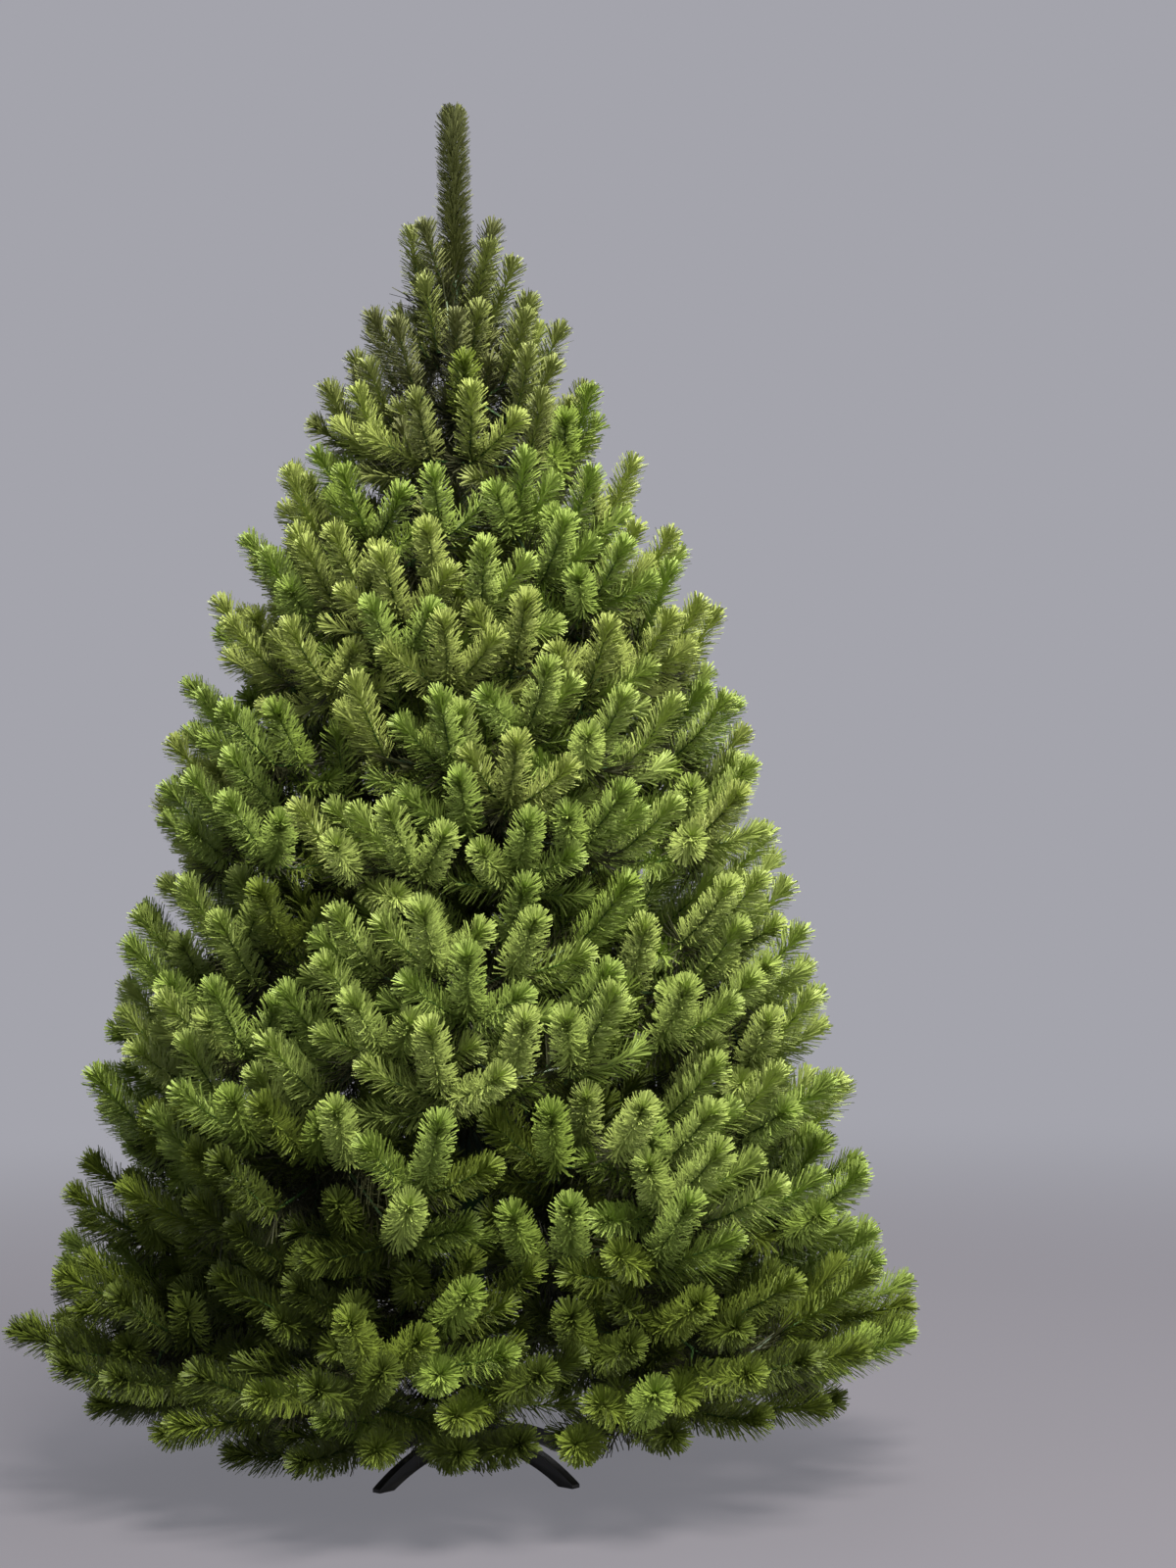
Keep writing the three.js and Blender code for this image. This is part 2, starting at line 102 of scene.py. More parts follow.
def floor_finish():
    # Seamless studio paper: matt, with a painted glow of the surround's colour that lightens the tree's
    # shadow near it, and lost in the surround a few metres away.
    material, tree = finish_named("studio_paper")
    place = node(tree, "TexCoord").outputs["Object"]
    away = node(tree, "VectorMath", {"operation": "LENGTH"}, {0: place}).outputs["Value"]
    fade = {"interpolation_type": "SMOOTHSTEP", "To Min": PAINTED_FLOOR_GLOW}
    fade.update({"From Min": FLOOR_NEAR, "From Max": FLOOR_FAR})
    far = node(tree, "MapRange", fade, {"Value": away}).outputs["Result"]
    paper = node(tree, "BsdfDiffuse", {"Color": linear("615e64")}).outputs["BSDF"]
    painted_glow = node(tree, "Emission", {"Color": SURROUND}).outputs["Emission"]
    seen = node(tree, "MixShader", {}, {0: far, 1: paper, 2: painted_glow}).outputs["Shader"]
    node(tree, "OutputMaterial", {}, {"Surface": seen})
    return material


def shown(name, data):
    """Makes an object of a mesh, a lamp or a camera."""
    made = bpy.data.objects.new(name, data)
    bpy.context.scene.collection.objects.link(made)
    return made


def lamp(name, place, target, size, watts, colour):
    light = bpy.data.lights.new(name, "AREA")
    light.shape = "DISK"
    light.size = size
    light.energy = watts
    light.color = linear(colour)[:3]
    made = shown(name, light)
    made.location = place
    made.rotation_euler = (Vector(target) - Vector(place)).to_track_quat("-Z", "Y").to_euler()


floor_form = bmesh.new()
bmesh.ops.create_circle(floor_form, cap_ends=True, segments=64, radius=FLOOR_RADIUS)
floor_mesh = bpy.data.meshes.new("floor")
floor_form.to_mesh(floor_mesh)
floor_form.free()
floor_mesh.materials.append(floor_finish())
floor = shown("floor", floor_mesh)

surround = bpy.data.worlds.new("surround")
surround.use_nodes = True
surround.node_tree.nodes["Background"].inputs["Color"].default_value = SURROUND
surround.node_tree.nodes["Background"].inputs["Strength"].default_value = 1.0
bpy.context.scene.world = surround

lamp("key", (1.05, -2.65, 4.9), (0, 0, 1.0), 2.2, 710, "fffaf0")
lamp("fill", (3.6, -3.0, 1.6), (0, 0, 0.8), 2.0, 70, "fffaf2")
lamp("back", (0.6, 3.6, 3.4), (0, 0, 0.9), 2.4, 90, "ffffff")

LENS = {"sensor": 24, "focal": 57.8}  # millimetres
EYE = Vector((0, -4.97, 1.02))
YAW, TILT, ROLL = (math.radians(degrees) for degrees in (1.88, 1.33, -0.95))

lens = bpy.data.cameras.new("camera")
lens.sensor_fit = "VERTICAL"
lens.sensor_height = LENS["sensor"]
lens.lens = LENS["focal"]
camera = shown("camera", lens)
camera.matrix_world = (
    Matrix.Translation(EYE)
    @ Matrix.Rotation(-YAW, 4, "Z")
    @ Matrix.Rotation(math.pi / 2 - TILT, 4, "X")
    @ Matrix.Rotation(ROLL, 4, "Z")
)
bpy.context.scene.camera = camera
bpy.context.scene.view_settings.view_transform = "Standard"

# ---------------- stand
# A folding stand of pressed steel, powder coated in a green that is nearly black. The upright
# tube has a wider foot, and four arched legs are riveted to that and stand on soft plastic caps.
# Two zinc-plated thumb screws go through the tube and hold the pole.

TUBE = {"bottom": 30, "top": 205, "outer": 19.5, "inner": 16.5, "foot": 23}
TUBE.update({"shoulder": 64, "neck": 70, "floor": 41.5, "drain": 1})
LEG = {"reach": 182, "width": 14, "foot": 26, "toe": 5, "high": 60, "low": 36, "count": 4}
# An arch's steps, and the share of its reach at which its lower and its upper edge are steered.
ARCH = {"steps": 14, "under": 0.5, "over": 0.6}
FLUTE = {"border": 3.2, "depth": 2.2}  # the sunk middle of a leg's broad sides
SCREW = {"z": 178, "radius": 3, "length": 34, "wing": 22, "thick": 3, "turns": [20, 200]}
THREAD = {"pitch": 1.5, "depth": 0.45, "bare": 6}  # the last six turns' length stays bare
# Half of the wing's outline: distance past the end of the screw, and share of its height.
WING = [(-5, 0.75), (4, 0.95), (11, 0.62), (8, 0.2)]
ROUND_SIDES = 48
CLEAR = 0.3  # gap left between two pieces that meet
AXIS = 0.01  # radius at which an outline that is spun ends, short of the axis
SHARP = math.radians(40)  # edges of pressed and moulded pieces that turn by more are rounded


def patchy(name, colours, patches, settings, rough=None, grain=None):
    """A finish whose colour, and gloss, change in patches, and which may have a raised grain."""
    material, tree = finish_named(name)
    place = node(tree, "TexCoord").outputs["Object"]
    spread = node(tree, "TexNoise", patches, {"Vector": place}).outputs["Fac"]
    between = {"data_type": "RGBA", 6: colours[0], 7: colours[1]}
    links = {"Base Color": node(tree, "Mix", between, {"Factor": spread}).outputs[2]}
    if rough:
        links["Roughness"] = node(tree, "MapRange", rough, {"Value": spread}).outputs["Result"]
    if grain:
        grains = node(tree, "TexNoise", grain[0], {"Vector": place}).outputs["Fac"]
        links["Normal"] = node(tree, "Bump", grain[1], {"Height": grains}).outputs["Normal"]
    surface = node(tree, "BsdfPrincipled", settings, links).outputs["BSDF"]
    node(tree, "OutputMaterial", {}, {"Surface": surface})
    return material


def lightened(code, times):
    """A colour in sRGB hex, made so many times as bright."""
    return [min(1, times * c) for c in linear(code)[:3]] + [1.0]


def piece(name, form, material, slot, *nodes):
    """Makes an object of a bmesh in millimetres, which rides on the body and replaces CAD nodes."""
    bmesh.ops.scale(form, vec=(MM, MM, MM), verts=form.verts)
    mesh = bpy.data.meshes.new(name)
    form.to_mesh(mesh)
    form.free()
    placed(name, mesh, [material], slot, *nodes)


def placed(name, mesh, materials, slot, *nodes):
    """Makes an object of a mesh in metres, which rides on the body and replaces CAD nodes."""
    made = shown(name, mesh)
    for material in materials:
        mesh.materials.append(material)
    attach(made, "root")
    if nodes:
        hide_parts(*nodes)


def turned(form, profile, sides=ROUND_SIDES):
    """Spins a closed outline of (radius, z) points about Z."""
    corners = [form.verts.new((radius, 0, z)) for radius, z in profile]
    edges = [form.edges.new(pair) for pair in zip(corners, corners[1:] + corners[:1])]
    bmesh.ops.spin(
        form,
        geom=corners + edges,
        cent=(0, 0, 0),
        axis=(0, 0, 1),
        angle=TURN,
        steps=sides,
        use_merge=True,
    )
    bmesh.ops.remove_doubles(form, verts=form.verts, dist=0.001)
    bmesh.ops.recalc_face_normals(form, faces=form.faces)


def raised(form, faces, way):
    """Raises flat faces by a vector into a closed body, and returns its new corners."""
    grown = bmesh.ops.extrude_face_region(form, geom=faces)["geom"]
    moved = [v for v in grown if isinstance(v, bmesh.types.BMVert)]
    bmesh.ops.translate(form, vec=way, verts=moved)
    bmesh.ops.recalc_face_normals(form, faces=form.faces)
    return moved


def spun_by(form, angle, axis):
    bmesh.ops.rotate(form, cent=(0, 0, 0), matrix=Matrix.Rotation(angle, 3, axis), verts=form.verts)


def smooth(form, angle=35):
    """Shades faces smooth, but for the edges that turn by more than the angle."""
    for face in form.faces:
        face.smooth = True
    for edge in form.edges:
        edge.smooth = edge.calc_face_angle(0) < math.radians(angle)


def rounded(form, edges, width):
    """Rounds edges over by a width."""
    bmesh.ops.bevel(
        form,
        geom=edges,
        offset=width,
        offset_type="OFFSET",
        affect="EDGES",
        segments=2,
        profile=0.5,
        material=-1,
    )


# Powder coat over steel: half gloss, with the fine pebbled skin that baked powder keeps. The real
# grain is under half a millimetre, and it is drawn at one so that it shows.
STAND_COAT = patchy(
    "powder_coated_steel",
    (linear("100f0c"), lightened("100f0c", 1.7)),
    {"Scale": 22.0, "Detail": 4.0},
    {"Specular IOR Level": 0.5, "IOR": 1.5},
    {"To Min": 0.36, "To Max": 0.56},
    ({"Scale": 1 / (1.0 * MM), "Detail": 2.0}, {"Strength": 0.25, "Distance": 0.15 * MM}),
)
RIM = 1.2  # the tube's rim is rolled over by this much

# The small steps in the outlines of the tube and the pole are their rounded rims and shoulders.
tube_form = bmesh.new()
turned(
    tube_form,
    [
        (TUBE["inner"], TUBE["floor"]),
        (TUBE["inner"], TUBE["top"] - RIM),
        (TUBE["inner"] + RIM, TUBE["top"]),
        (TUBE["outer"] - RIM / 2, TUBE["top"]),
        (TUBE["outer"], TUBE["top"] - RIM),
        (TUBE["outer"], TUBE["neck"]),
        (TUBE["foot"] - 1, TUBE["shoulder"] + 1.5),
        (TUBE["foot"], TUBE["shoulder"] - 1),
        (TUBE["foot"], TUBE["bottom"] + 2),
        (TUBE["foot"] - 2, TUBE["bottom"]),
        (TUBE["drain"], TUBE["bottom"]),
        (TUBE["drain"], TUBE["floor"]),
    ],
)
smooth(tube_form)
piece("stand_tube_finish", tube_form, STAND_COAT, "stand_paint", "stand_tube")


def arch(low, peak, far, end):
    """Points of a curve that leaves the tube at a height and bends down to its end."""
    root = TUBE["foot"] + CLEAR
    points = []
    for i in range(ARCH["steps"] + 1):
        t = i / ARCH["steps"]
        x = (1 - t) ** 2 * root + 2 * t * (1 - t) * far + t * t * end[0]
        z = (1 - t) ** 2 * low + 2 * t * (1 - t) * peak + t * t * end[1]
        points.append((x, z))
    return points


def stand_leg(turn):
    """A leg: an arm pressed from plate, arched and tapering, with a cap on its toe."""
    form = bmesh.new()
    reach, toe = LEG["reach"], LEG["toe"]
    under = arch(LEG["low"], LEG["low"], ARCH["under"] * reach, (reach - LEG["foot"], 0))
    over = arch(LEG["high"], LEG["high"] - toe, ARCH["over"] * reach, (reach, toe))
    outline = under + [(reach, 0)] + over[::-1]
    half = LEG["width"] / 2
    side = form.faces.new([form.verts.new((x, -half, z)) for x, z in outline])
    raised(form, [side], (0, LEG["width"], 0))
    # The pressed flutes: both broad sides are sunk inside a rolled border.
    bmesh.ops.inset_region(
        form,
        faces=[f for f in form.faces if abs(f.normal.y) > 0.9],
        thickness=FLUTE["border"],
        depth=-FLUTE["depth"],
        use_even_offset=True,
    )
    rounded(form, [e for e in form.edges if e.calc_face_angle(0) > SHARP], 0.7)
    smooth(form, 50)
    spun_by(form, turn, "Z")
    return form


for i in range(LEG["count"]):
    leg_form = stand_leg(TURN * (i + 0.5) / LEG["count"])
    piece(f"stand_leg_finish_{i + 1}", leg_form, STAND_COAT, "stand_paint", f"stand_leg_{i + 1}")


def thumb_screw(turn):
    """A thumb screw: a threaded rod with a flat wing pressed onto its end."""
    form = bmesh.new()
    radius, pitch = SCREW["radius"], THREAD["pitch"]
    profile = [(AXIS, 0), (radius - 1, 0)]
    for k in range(int(SCREW["length"] / pitch) - THREAD["bare"]):
        profile += [(radius - THREAD["depth"], (k + 0.5) * pitch), (radius, (k + 1) * pitch)]
    profile += [(radius, SCREW["length"]), (AXIS, SCREW["length"])]
    turned(form, profile, 20)
    spun_by(form, math.pi / 2, "Y")
    bmesh.ops.translate(form, vec=(TUBE["outer"] + CLEAR, 0, 0), verts=form.verts)
    end = TUBE["outer"] + SCREW["length"]
    half = [(end - 10, radius)] + [(end + past, share * SCREW["wing"]) for past, share in WING]
    outline = [(x, -z) for x, z in half] + half[::-1]
    face = form.faces.new([form.verts.new((x, -SCREW["thick"] / 2, z)) for x, z in outline])
    moved = raised(form, [face], (0, SCREW["thick"], 0))
    rim = {e for v in moved + list(face.verts) for e in v.link_edges}
    rounded(form, [e for e in rim if e.calc_face_angle(0) > 0.3], 0.9)
    smooth(form)
    spun_by(form, turn, "Z")
    bmesh.ops.translate(form, vec=(0, 0, SCREW["z"]), verts=form.verts)
    return form


# Zinc plate on small steel hardware: greyish, softly bright, clouded by handling.
ZINC = patchy(
    "zinc_plate",
    (linear("8f9194"), linear("c0c2c4")),
    {"Scale": 160.0, "Detail": 5.0},
    {"Metallic": 1.0},
    {"To Min": 0.24, "To Max": 0.46},
)
for i, turn in enumerate(SCREW["turns"]):
    screw_form = thumb_screw(math.radians(turn))
    piece(f"thumb_screw_finish_{i + 1}", screw_form, ZINC, "zinc", f"thumb_screw_{i + 1}")

# ---------------- pole
# Three lengths of thin steel tube painted a deep green. The middle length is swaged to slide into
# the lower one, and a thin top length is pressed into that and carries the leader.

POLE = {"foot": 42, "sleeve": 940, "thin": 1400, "top": 1575, "lower": 16, "upper": 14}
POLE.update({"end": 8, "tip": 5})
GROOVE = {"depth": 0.6, "below": 61, "half": 3}  # rolled into the lower length under the joint


def brushed_enamel(name, code):
    # Enamel paint on drawn tube: glossy, with faint streaks along the tube and small rub marks.
    material, tree = finish_named(name)
    place = node(tree, "TexCoord").outputs["Object"]
    stretched = node(tree, "Mapping", {"Scale": (260, 260, 9)}, {"Vector": place}).outputs["Vector"]
    streaks = node(tree, "TexNoise", {"Scale": 1.0, "Detail": 3.0}, {"Vector": stretched})
    rubs = node(tree, "TexNoise", {"Scale": 70.0, "Detail": 6.0}, {"Vector": place})
    colours = {"data_type": "RGBA", 6: linear(code), 7: lightened(code, 1.5)}
    tint = node(tree, "Mix", colours, {"Factor": streaks.outputs["Fac"]}).outputs[2]
    worn = {"To Min": 0.28, "To Max": 0.55}
    rough = node(tree, "MapRange", worn, {"Value": rubs.outputs["Fac"]}).outputs["Result"]
    links = {"Base Color": tint, "Roughness": rough}
    surface = node(tree, "BsdfPrincipled", {"IOR": 1.5}, links).outputs["BSDF"]
    node(tree, "OutputMaterial", {}, {"Surface": surface})
    return material


groove_z = POLE["sleeve"] - GROOVE["below"]
pole_form = bmesh.new()
turned(
    pole_form,
    [
        (AXIS, POLE["foot"]),
        (POLE["lower"] - 1, POLE["foot"]),
        (POLE["lower"], POLE["foot"] + 1),
        (POLE["lower"], groove_z - GROOVE["half"]),
        (POLE["lower"] - GROOVE["depth"], groove_z),
        (POLE["lower"], groove_z + GROOVE["half"]),
        (POLE["lower"], POLE["sleeve"] - 1),
        (POLE["lower"] - 0.6, POLE["sleeve"]),
        (POLE["upper"] + 0.4, POLE["sleeve"] + 1),
        (POLE["upper"], POLE["sleeve"] + 3),
        (POLE["upper"], POLE["thin"] - 1),
        (POLE["upper"] - 2, POLE["thin"] + 1),
        (POLE["end"] + 0.5, POLE["thin"] + 4),
        (POLE["end"], POLE["thin"] + 5),
        (POLE["end"], POLE["top"] - 12),
        (POLE["tip"], POLE["top"] - 0.5),
        (POLE["tip"] - 0.5, POLE["top"]),
        (AXIS, POLE["top"]),
    ],
)
smooth(pole_form)
piece("pole_finish", pole_form, brushed_enamel("enamelled_tube", "24401f"), "pole_paint", "pole")

# ---------------- the source's rule for the crown
# The tree grows by rule: tiers of boughs on the pole, each bough carrying one mass of foliage,
# whose stem forks into twigs that end on the crown's surface. The sizes are those of the solids.

HEIGHT = cad_box[1][2]
REACH = 0.615  # from the axis to the crown's surface where it is widest
# The crown's radius as a share of REACH, against height as a share of HEIGHT.
OUTLINE = [(0.06, 0.8), (0.118, 1), (0.22, 0.89), (0.37, 0.77), (0.5, 0.675), (0.67, 0.49)]
OUTLINE += [(0.8, 0.285), (0.915, 0.1)]
# How steeply shoots rise, in degrees, against height as a share of HEIGHT.
RISE = [(0.06, -4), (0.11, 14), (0.18, 34), (0.35, 48), (0.6, 54), (0.8, 62), (0.92, 72)]
# Tiers of foliage from the lowest: the band of heights that each covers, its rows of shoots, how
# many masses stand round it and where the first one faces, the height of its limbs on the pole
# and at the surface, and how much of that way a bough carries each mass.
TIER_FIELDS = ("low", "high", "rows", "count", "turn", "root", "end", "bough")
TIERS = [
    dict(zip(TIER_FIELDS, values))
    for values in (
        (0.076, 0.345, 3, 6, 12, 0.300, 0.225, 0.42),
        (0.345, 0.595, 2, 5, 18, 0.440, 0.480, 0.40),
        (0.595, 0.850, 2, 5, 54, 0.630, 0.725, 0.38),
        (0.850, 1.116, 2, 4, 10, 0.840, 0.980, 0.36),
        (1.100, 1.380, 3, 4, 55, 1.040, 1.245, 0),
        (1.380, 1.690, 3, 3, 30, 1.290, 1.520, 0),
    )
]
CROWN = {"floor": 0.240, "roof": 1.560}  # heights between which the masses keep on the pole


def lerp(a, b, t):
    return a + (b - a) * t


def along(points, z):
    """A value at a height, read from (share of the height, value) points."""
    return float(np.interp(z / HEIGHT, [p[0] for p in points], [p[1] for p in points]))


def reach_at(z):
    return REACH * along(OUTLINE, z)


def polar(radius, angle, z):
    return Vector((radius * math.cos(angle), radius * math.sin(angle), z))


for below, tier, above in zip([None] + TIERS[:-1], TIERS, TIERS[1:] + [None]):
    tier["floor"] = (below["root"] + tier["root"]) / 2 if below else CROWN["floor"]
    tier["roof"] = (above["root"] + tier["root"]) / 2 if above else CROWN["roof"]

# ---------------- collars
# Moulded collars of tough green plastic, clamped round the pole, one for each of the four lower
# tiers. A notch for the root of each bough is cut in the rim.

COLLAR = {"radius": 34, "height": 20, "notch": 12, "depth": 11, "inner": 16.4}
NOTCH_SLOPE = 1e-3  # radians by which the walls of a notch lean outwards
RIM_STEPS = 10


def collar(tier):
    """A notched ring: a flat ring of faces from the bore to the rim, raised to its height."""
    form = bmesh.new()
    half_notch = math.asin(COLLAR["notch"] / 2 / COLLAR["radius"])
    corners = []
    for i in range(tier["count"]):
        middle = math.radians(tier["turn"]) + TURN * i / tier["count"]
        floor_radius = COLLAR["radius"] - COLLAR["depth"]
        for side in (-1, 0, 1):
            corners.append((middle + side * half_notch, floor_radius))
        rim = TURN / tier["count"] - 2 * half_notch - 2 * NOTCH_SLOPE
        for k in range(RIM_STEPS + 1):
            turn = middle + half_notch + NOTCH_SLOPE + rim * k / RIM_STEPS
            corners.append((turn, COLLAR["radius"]))
    z = tier["root"] / MM - COLLAR["height"] / 2
    inner = [form.verts.new(polar(COLLAR["inner"], angle, z)) for angle, _ in corners]
    outer = [form.verts.new(polar(radius, angle, z)) for angle, radius in corners]
    count = len(corners)
    ring = []
    for k in range(count):
        n = (k + 1) % count
        ring.append(form.faces.new((inner[k], outer[k], outer[n], inner[n])))
    raised(form, ring, (0, 0, COLLAR["height"]))
    rounded(form, [e for e in form.edges if e.calc_face_angle(0) > SHARP], 0.6)
    smooth(form)
    return form


# Moulded polypropylene: dull green, with a fine spark-eroded texture.
COLLAR_PLASTIC = patchy(
    "moulded_polypropylene",
    (linear("16281a"), linear("2a4430")),
    {"Scale": 45.0, "Detail": 3.0},
    {"IOR": 1.49, "Roughness": 0.5},
    grain=({"Scale": 1400.0, "Detail": 2.0}, {"Strength": 0.2, "Distance": 0.1 * MM}),
)
bough_tiers = [tier for tier in TIERS if tier["bough"]]
for t, tier in enumerate(bough_tiers):
    name = f"branch_collar_{t + 1}"
    piece(name + "_finish", collar(tier), COLLAR_PLASTIC, "collar_plastic", name)

# ---------------- boughs
# Each bough is a steel rod that lies in a notch of its collar and runs out into its mass of
# foliage. It is wrapped in a spiral of green film, whose edge stands a little proud.

# Radii at both ends, sides, and the wrapping: its pitch, how proud its edge is, and its steps.
BOUGH = {"root": 5, "tip": 4, "sides": 14, "wrap": 7.5, "proud": 0.45, "step": 1.5}


def wrapped_rod(form, start, end):
    """Adds a rod from start to end, with the relief of its spiral wrapping."""
    way = end - start
    rod = bmesh.new()
    bmesh.ops.create_cone(
        rod,
        cap_ends=True,
        segments=BOUGH["sides"],
        radius1=BOUGH["root"],
        radius2=BOUGH["tip"],
        depth=way.length,
    )
    long_edges = [e for e in rod.edges if abs(e.verts[0].co.z - e.verts[1].co.z) > 1]
    bmesh.ops.subdivide_edges(rod, edges=long_edges, cuts=int(way.length / BOUGH["step"]))
    for v in rod.verts:
        lap = (v.co.z / BOUGH["wrap"] + math.atan2(v.co.y, v.co.x) / TURN) % 1
        grown = 1 + (lap - 1) * BOUGH["proud"] / BOUGH["root"]
        v.co.x *= grown
        v.co.y *= grown
    turned_to = way.to_track_quat("Z", "Y").to_matrix().to_4x4()
    bmesh.ops.transform(rod, matrix=Matrix.Translation((start + end) / 2) @ turned_to, verts=rod.verts)
    kept = bpy.data.meshes.new("rod")
    rod.to_mesh(kept)
    rod.free()
    form.from_mesh(kept)
    bpy.data.meshes.remove(kept)


# Soft PVC film wound on the rods: satin green, mottled where it laps.
FILM_WRAP = patchy(
    "pvc_film_wrap",
    (linear("24401c"), linear("3c5e2a")),
    {"Scale": 180.0, "Detail": 4.0},
    {"IOR": 1.53},
    {"To Min": 0.35, "To Max": 0.6},
)
masses = []
for t, tier in enumerate(TIERS):
    rods_form = bmesh.new() if tier["bough"] else None
    names = []
    for i in range(tier["count"]):
        angle = math.radians(tier["turn"]) + TURN * i / tier["count"]
        root = polar(0, angle, tier["root"])
        end = polar(reach_at(tier["end"]), angle, tier["end"])
        start = root.lerp(end, tier["bough"])
        masses.append({"tier": tier, "seed": 10 * t + i + 1, "angle": angle, "start": start, "end": end})
        masses[-1].update({"name": f"{t + 1}_{i + 1}", "root": root, "bough": None})
        if tier["bough"]:
            lean = abs(tier["end"] - tier["root"]) / reach_at(tier["end"])
            foot = (COLLAR["radius"] - COLLAR["depth"] + CLEAR + BOUGH["root"] * lean) * MM
            masses[-1]["bough"] = (polar(foot, angle, tier["root"]), start)
            wrapped_rod(rods_form, masses[-1]["bough"][0] / MM, start / MM)
            names.append(f"bough_{t + 1}_{i + 1}")
    if rods_form:
        bmesh.ops.recalc_face_normals(rods_form, faces=rods_form.faces)
        smooth(rods_form, 60)
        piece(f"boughs_{t + 1}", rods_form, FILM_WRAP, "bough_paint", *names)

# ---------------- growth of the twigs
# The stem of a mass runs on from its bough and forks into twigs of soft wire. Each twig ends in
# a spray: a brush of needles straight on, and smaller ones to its sides, like the real tips.

# A shoot's length at the foot of the tree, its share of that at the top, and how far apart the
# shoots of a row stand.
SHOOT = {"length": 0.160, "top": 0.62, "spacing": 0.147}
# Where twigs may leave the stem or another twig. A fork costs its length times this cost, less
# the cosine of its turn.
FORKS = {"stem": (0.08, 0.24, 0.4, 0.56, 0.72, 0.9), "twig": (0.45, 0.6, 0.75, 0.92), "cost": 1.9}
FAN = 0.12  # share by which a shoot points away from the foot of its mass
# How far, at random, a tip stays back, moves round and up, and turns in degrees.
SCATTER = {"in": 0.03, "round": 0.4, "up": 0.22, "turn": 10}
CROWDING = 0.85  # share of their full breadth that two brushes keep apart
SIDE_CROWDING = 0.72  # and that the side shoots of a spray do
TRIES = 10  # for each place of a shoot
SAG = 0.06  # of a brush, as a share of its length
LOWEST = 0.085  # the lowest and highest tips of the masses
HIGHEST = 1.655
LIFT = {"up": 0.03, "half": 0.14}  # how much higher tips hang over the legs in front, and how wide
BRUSH_REACH = (0.0275, 0.0205)  # of its needles, at the foot and at the top of the tree


def size_at(z):
    return lerp(1, SHOOT["top"], z / HEIGHT)


def brush_reach(z):
    """How far needles stand out from the wire of a brush at a height."""
    return lerp(*BRUSH_REACH, z / HEIGHT)


# Gaps between boughs: their size, how much flatter than wide they are, the values of the noise at
# which one starts and is full, and the share of the radius by which tips stay back in it.
VALLEY = {"size": 0.28, "flat": 1.2, "from": 0.02, "full": 0.2, "depth": 0.13}
# They fade out towards the top, the foot and the flanks: where they are gone, and over how much.
VALLEY.update({"top": (1.0, 0.35), "foot": (0.2, 0.08), "flank": (0.25, 0.4)})
VALLEY_START = Vector((4.5, 9.4, 40.8))  # where in the noise the gaps are read from


def valley(point):
    """How deep a point of the crown lies in a gap between two boughs, from 0 to 1."""
    spread = Vector((point.x, point.y, VALLEY["flat"] * point.z)) / VALLEY["size"]
    uneven = -noise.noise(spread + VALLEY_START)
    depth = (uneven - VALLEY["from"]) / (VALLEY["full"] - VALLEY["from"])
    across = abs(point.y) / math.hypot(point.x, point.y, MM)
    top, foot, flank = VALLEY["top"], VALLEY["foot"], VALLEY["flank"]
    fades = [(top[0] - point.z) / top[1], (point.z - foot[0]) / foot[1]]
    fades.append((across - flank[0]) / flank[1])
    return math.prod(min(1, max(0, share)) for share in (depth, *fades))


def seeded(seed):
    """Repeatable random numbers between -1 and 1."""
    state = 7919 * seed + 104729
    while True:
        state = (state * 16807) % 2147483647
        yield 2 * state / 2147483647 - 1


# Tips end a little inside the solids' surface low down, and a little outside it near the top.
SWELL = [(0.1, 1.0), (0.19, 0.97), (0.32, 1.0), (0.52, 1.0), (0.62, 1.05), (0.92, 1.05)]


def in_space(mass, share, across, level):
    """A point of a mass's space: its share of the radius, and its place from side to side and up."""
    tier = mass["tier"]
    z = lerp(tier["low"], tier["high"], level)
    on_pole = lerp(tier["floor"], tier["roof"], level)
    angle = mass["angle"] + across * math.pi / tier["count"]
    return polar(share * reach_at(z) * along(SWELL, z), angle, lerp(on_pole, z, share))


class Growth:
    """Everything grown so far, as rods: two ends, a radius, an owner, and whether it is a brush."""

    def __init__(self):
        self.ends = np.zeros((0, 2, 3))
        self.radii = np.zeros(0)
        self.owners = np.zeros(0, int)
        self.brushes = np.zeros(0, bool)

    def add(self, owner, start, end, radius, brush=False):
        self.ends = np.concatenate([self.ends, [[tuple(start), tuple(end)]]])
        self.radii = np.append(self.radii, radius)
        self.owners = np.append(self.owners, owner)
        self.brushes = np.append(self.brushes, brush)
        return len(self.radii) - 1

    def apart(self, start, end):
        """The least distance from one rod's axis to that of every other."""
        d1 = np.array(end - start)
        d2 = self.ends[:, 1] - self.ends[:, 0]
        gap = np.array(start) - self.ends[:, 0]
        a, e, b = d1 @ d1, (d2 * d2).sum(1), d2 @ d1
        c, f = gap @ d1, (gap * d2).sum(1)
        spread = a * e - b * b
        s = np.clip(np.where(spread > 1e-12, (b * f - c * e) / np.maximum(spread, 1e-12), 0), 0, 1)
        t = np.clip((b * s + f) / np.maximum(e, 1e-12), 0, 1)
        s = np.clip((b * t - c) / max(a, 1e-12), 0, 1)
        return np.linalg.norm(gap + s[:, None] * d1 - t[:, None] * d2, axis=1)

    def fits(self, owner, start, end, radius, brush, skip, crowding):
        """Whether a new rod keeps clear of the rest, but for those in skip."""
        if not len(self.radii):
            return True
        room = radius + self.radii
        own = self.owners == owner
        needed = np.where(own, np.where(self.brushes & brush, crowding * room, 0), room * crowding)
        needed[list(skip)] = 0
        return bool((self.apart(start, end) >= needed).all())


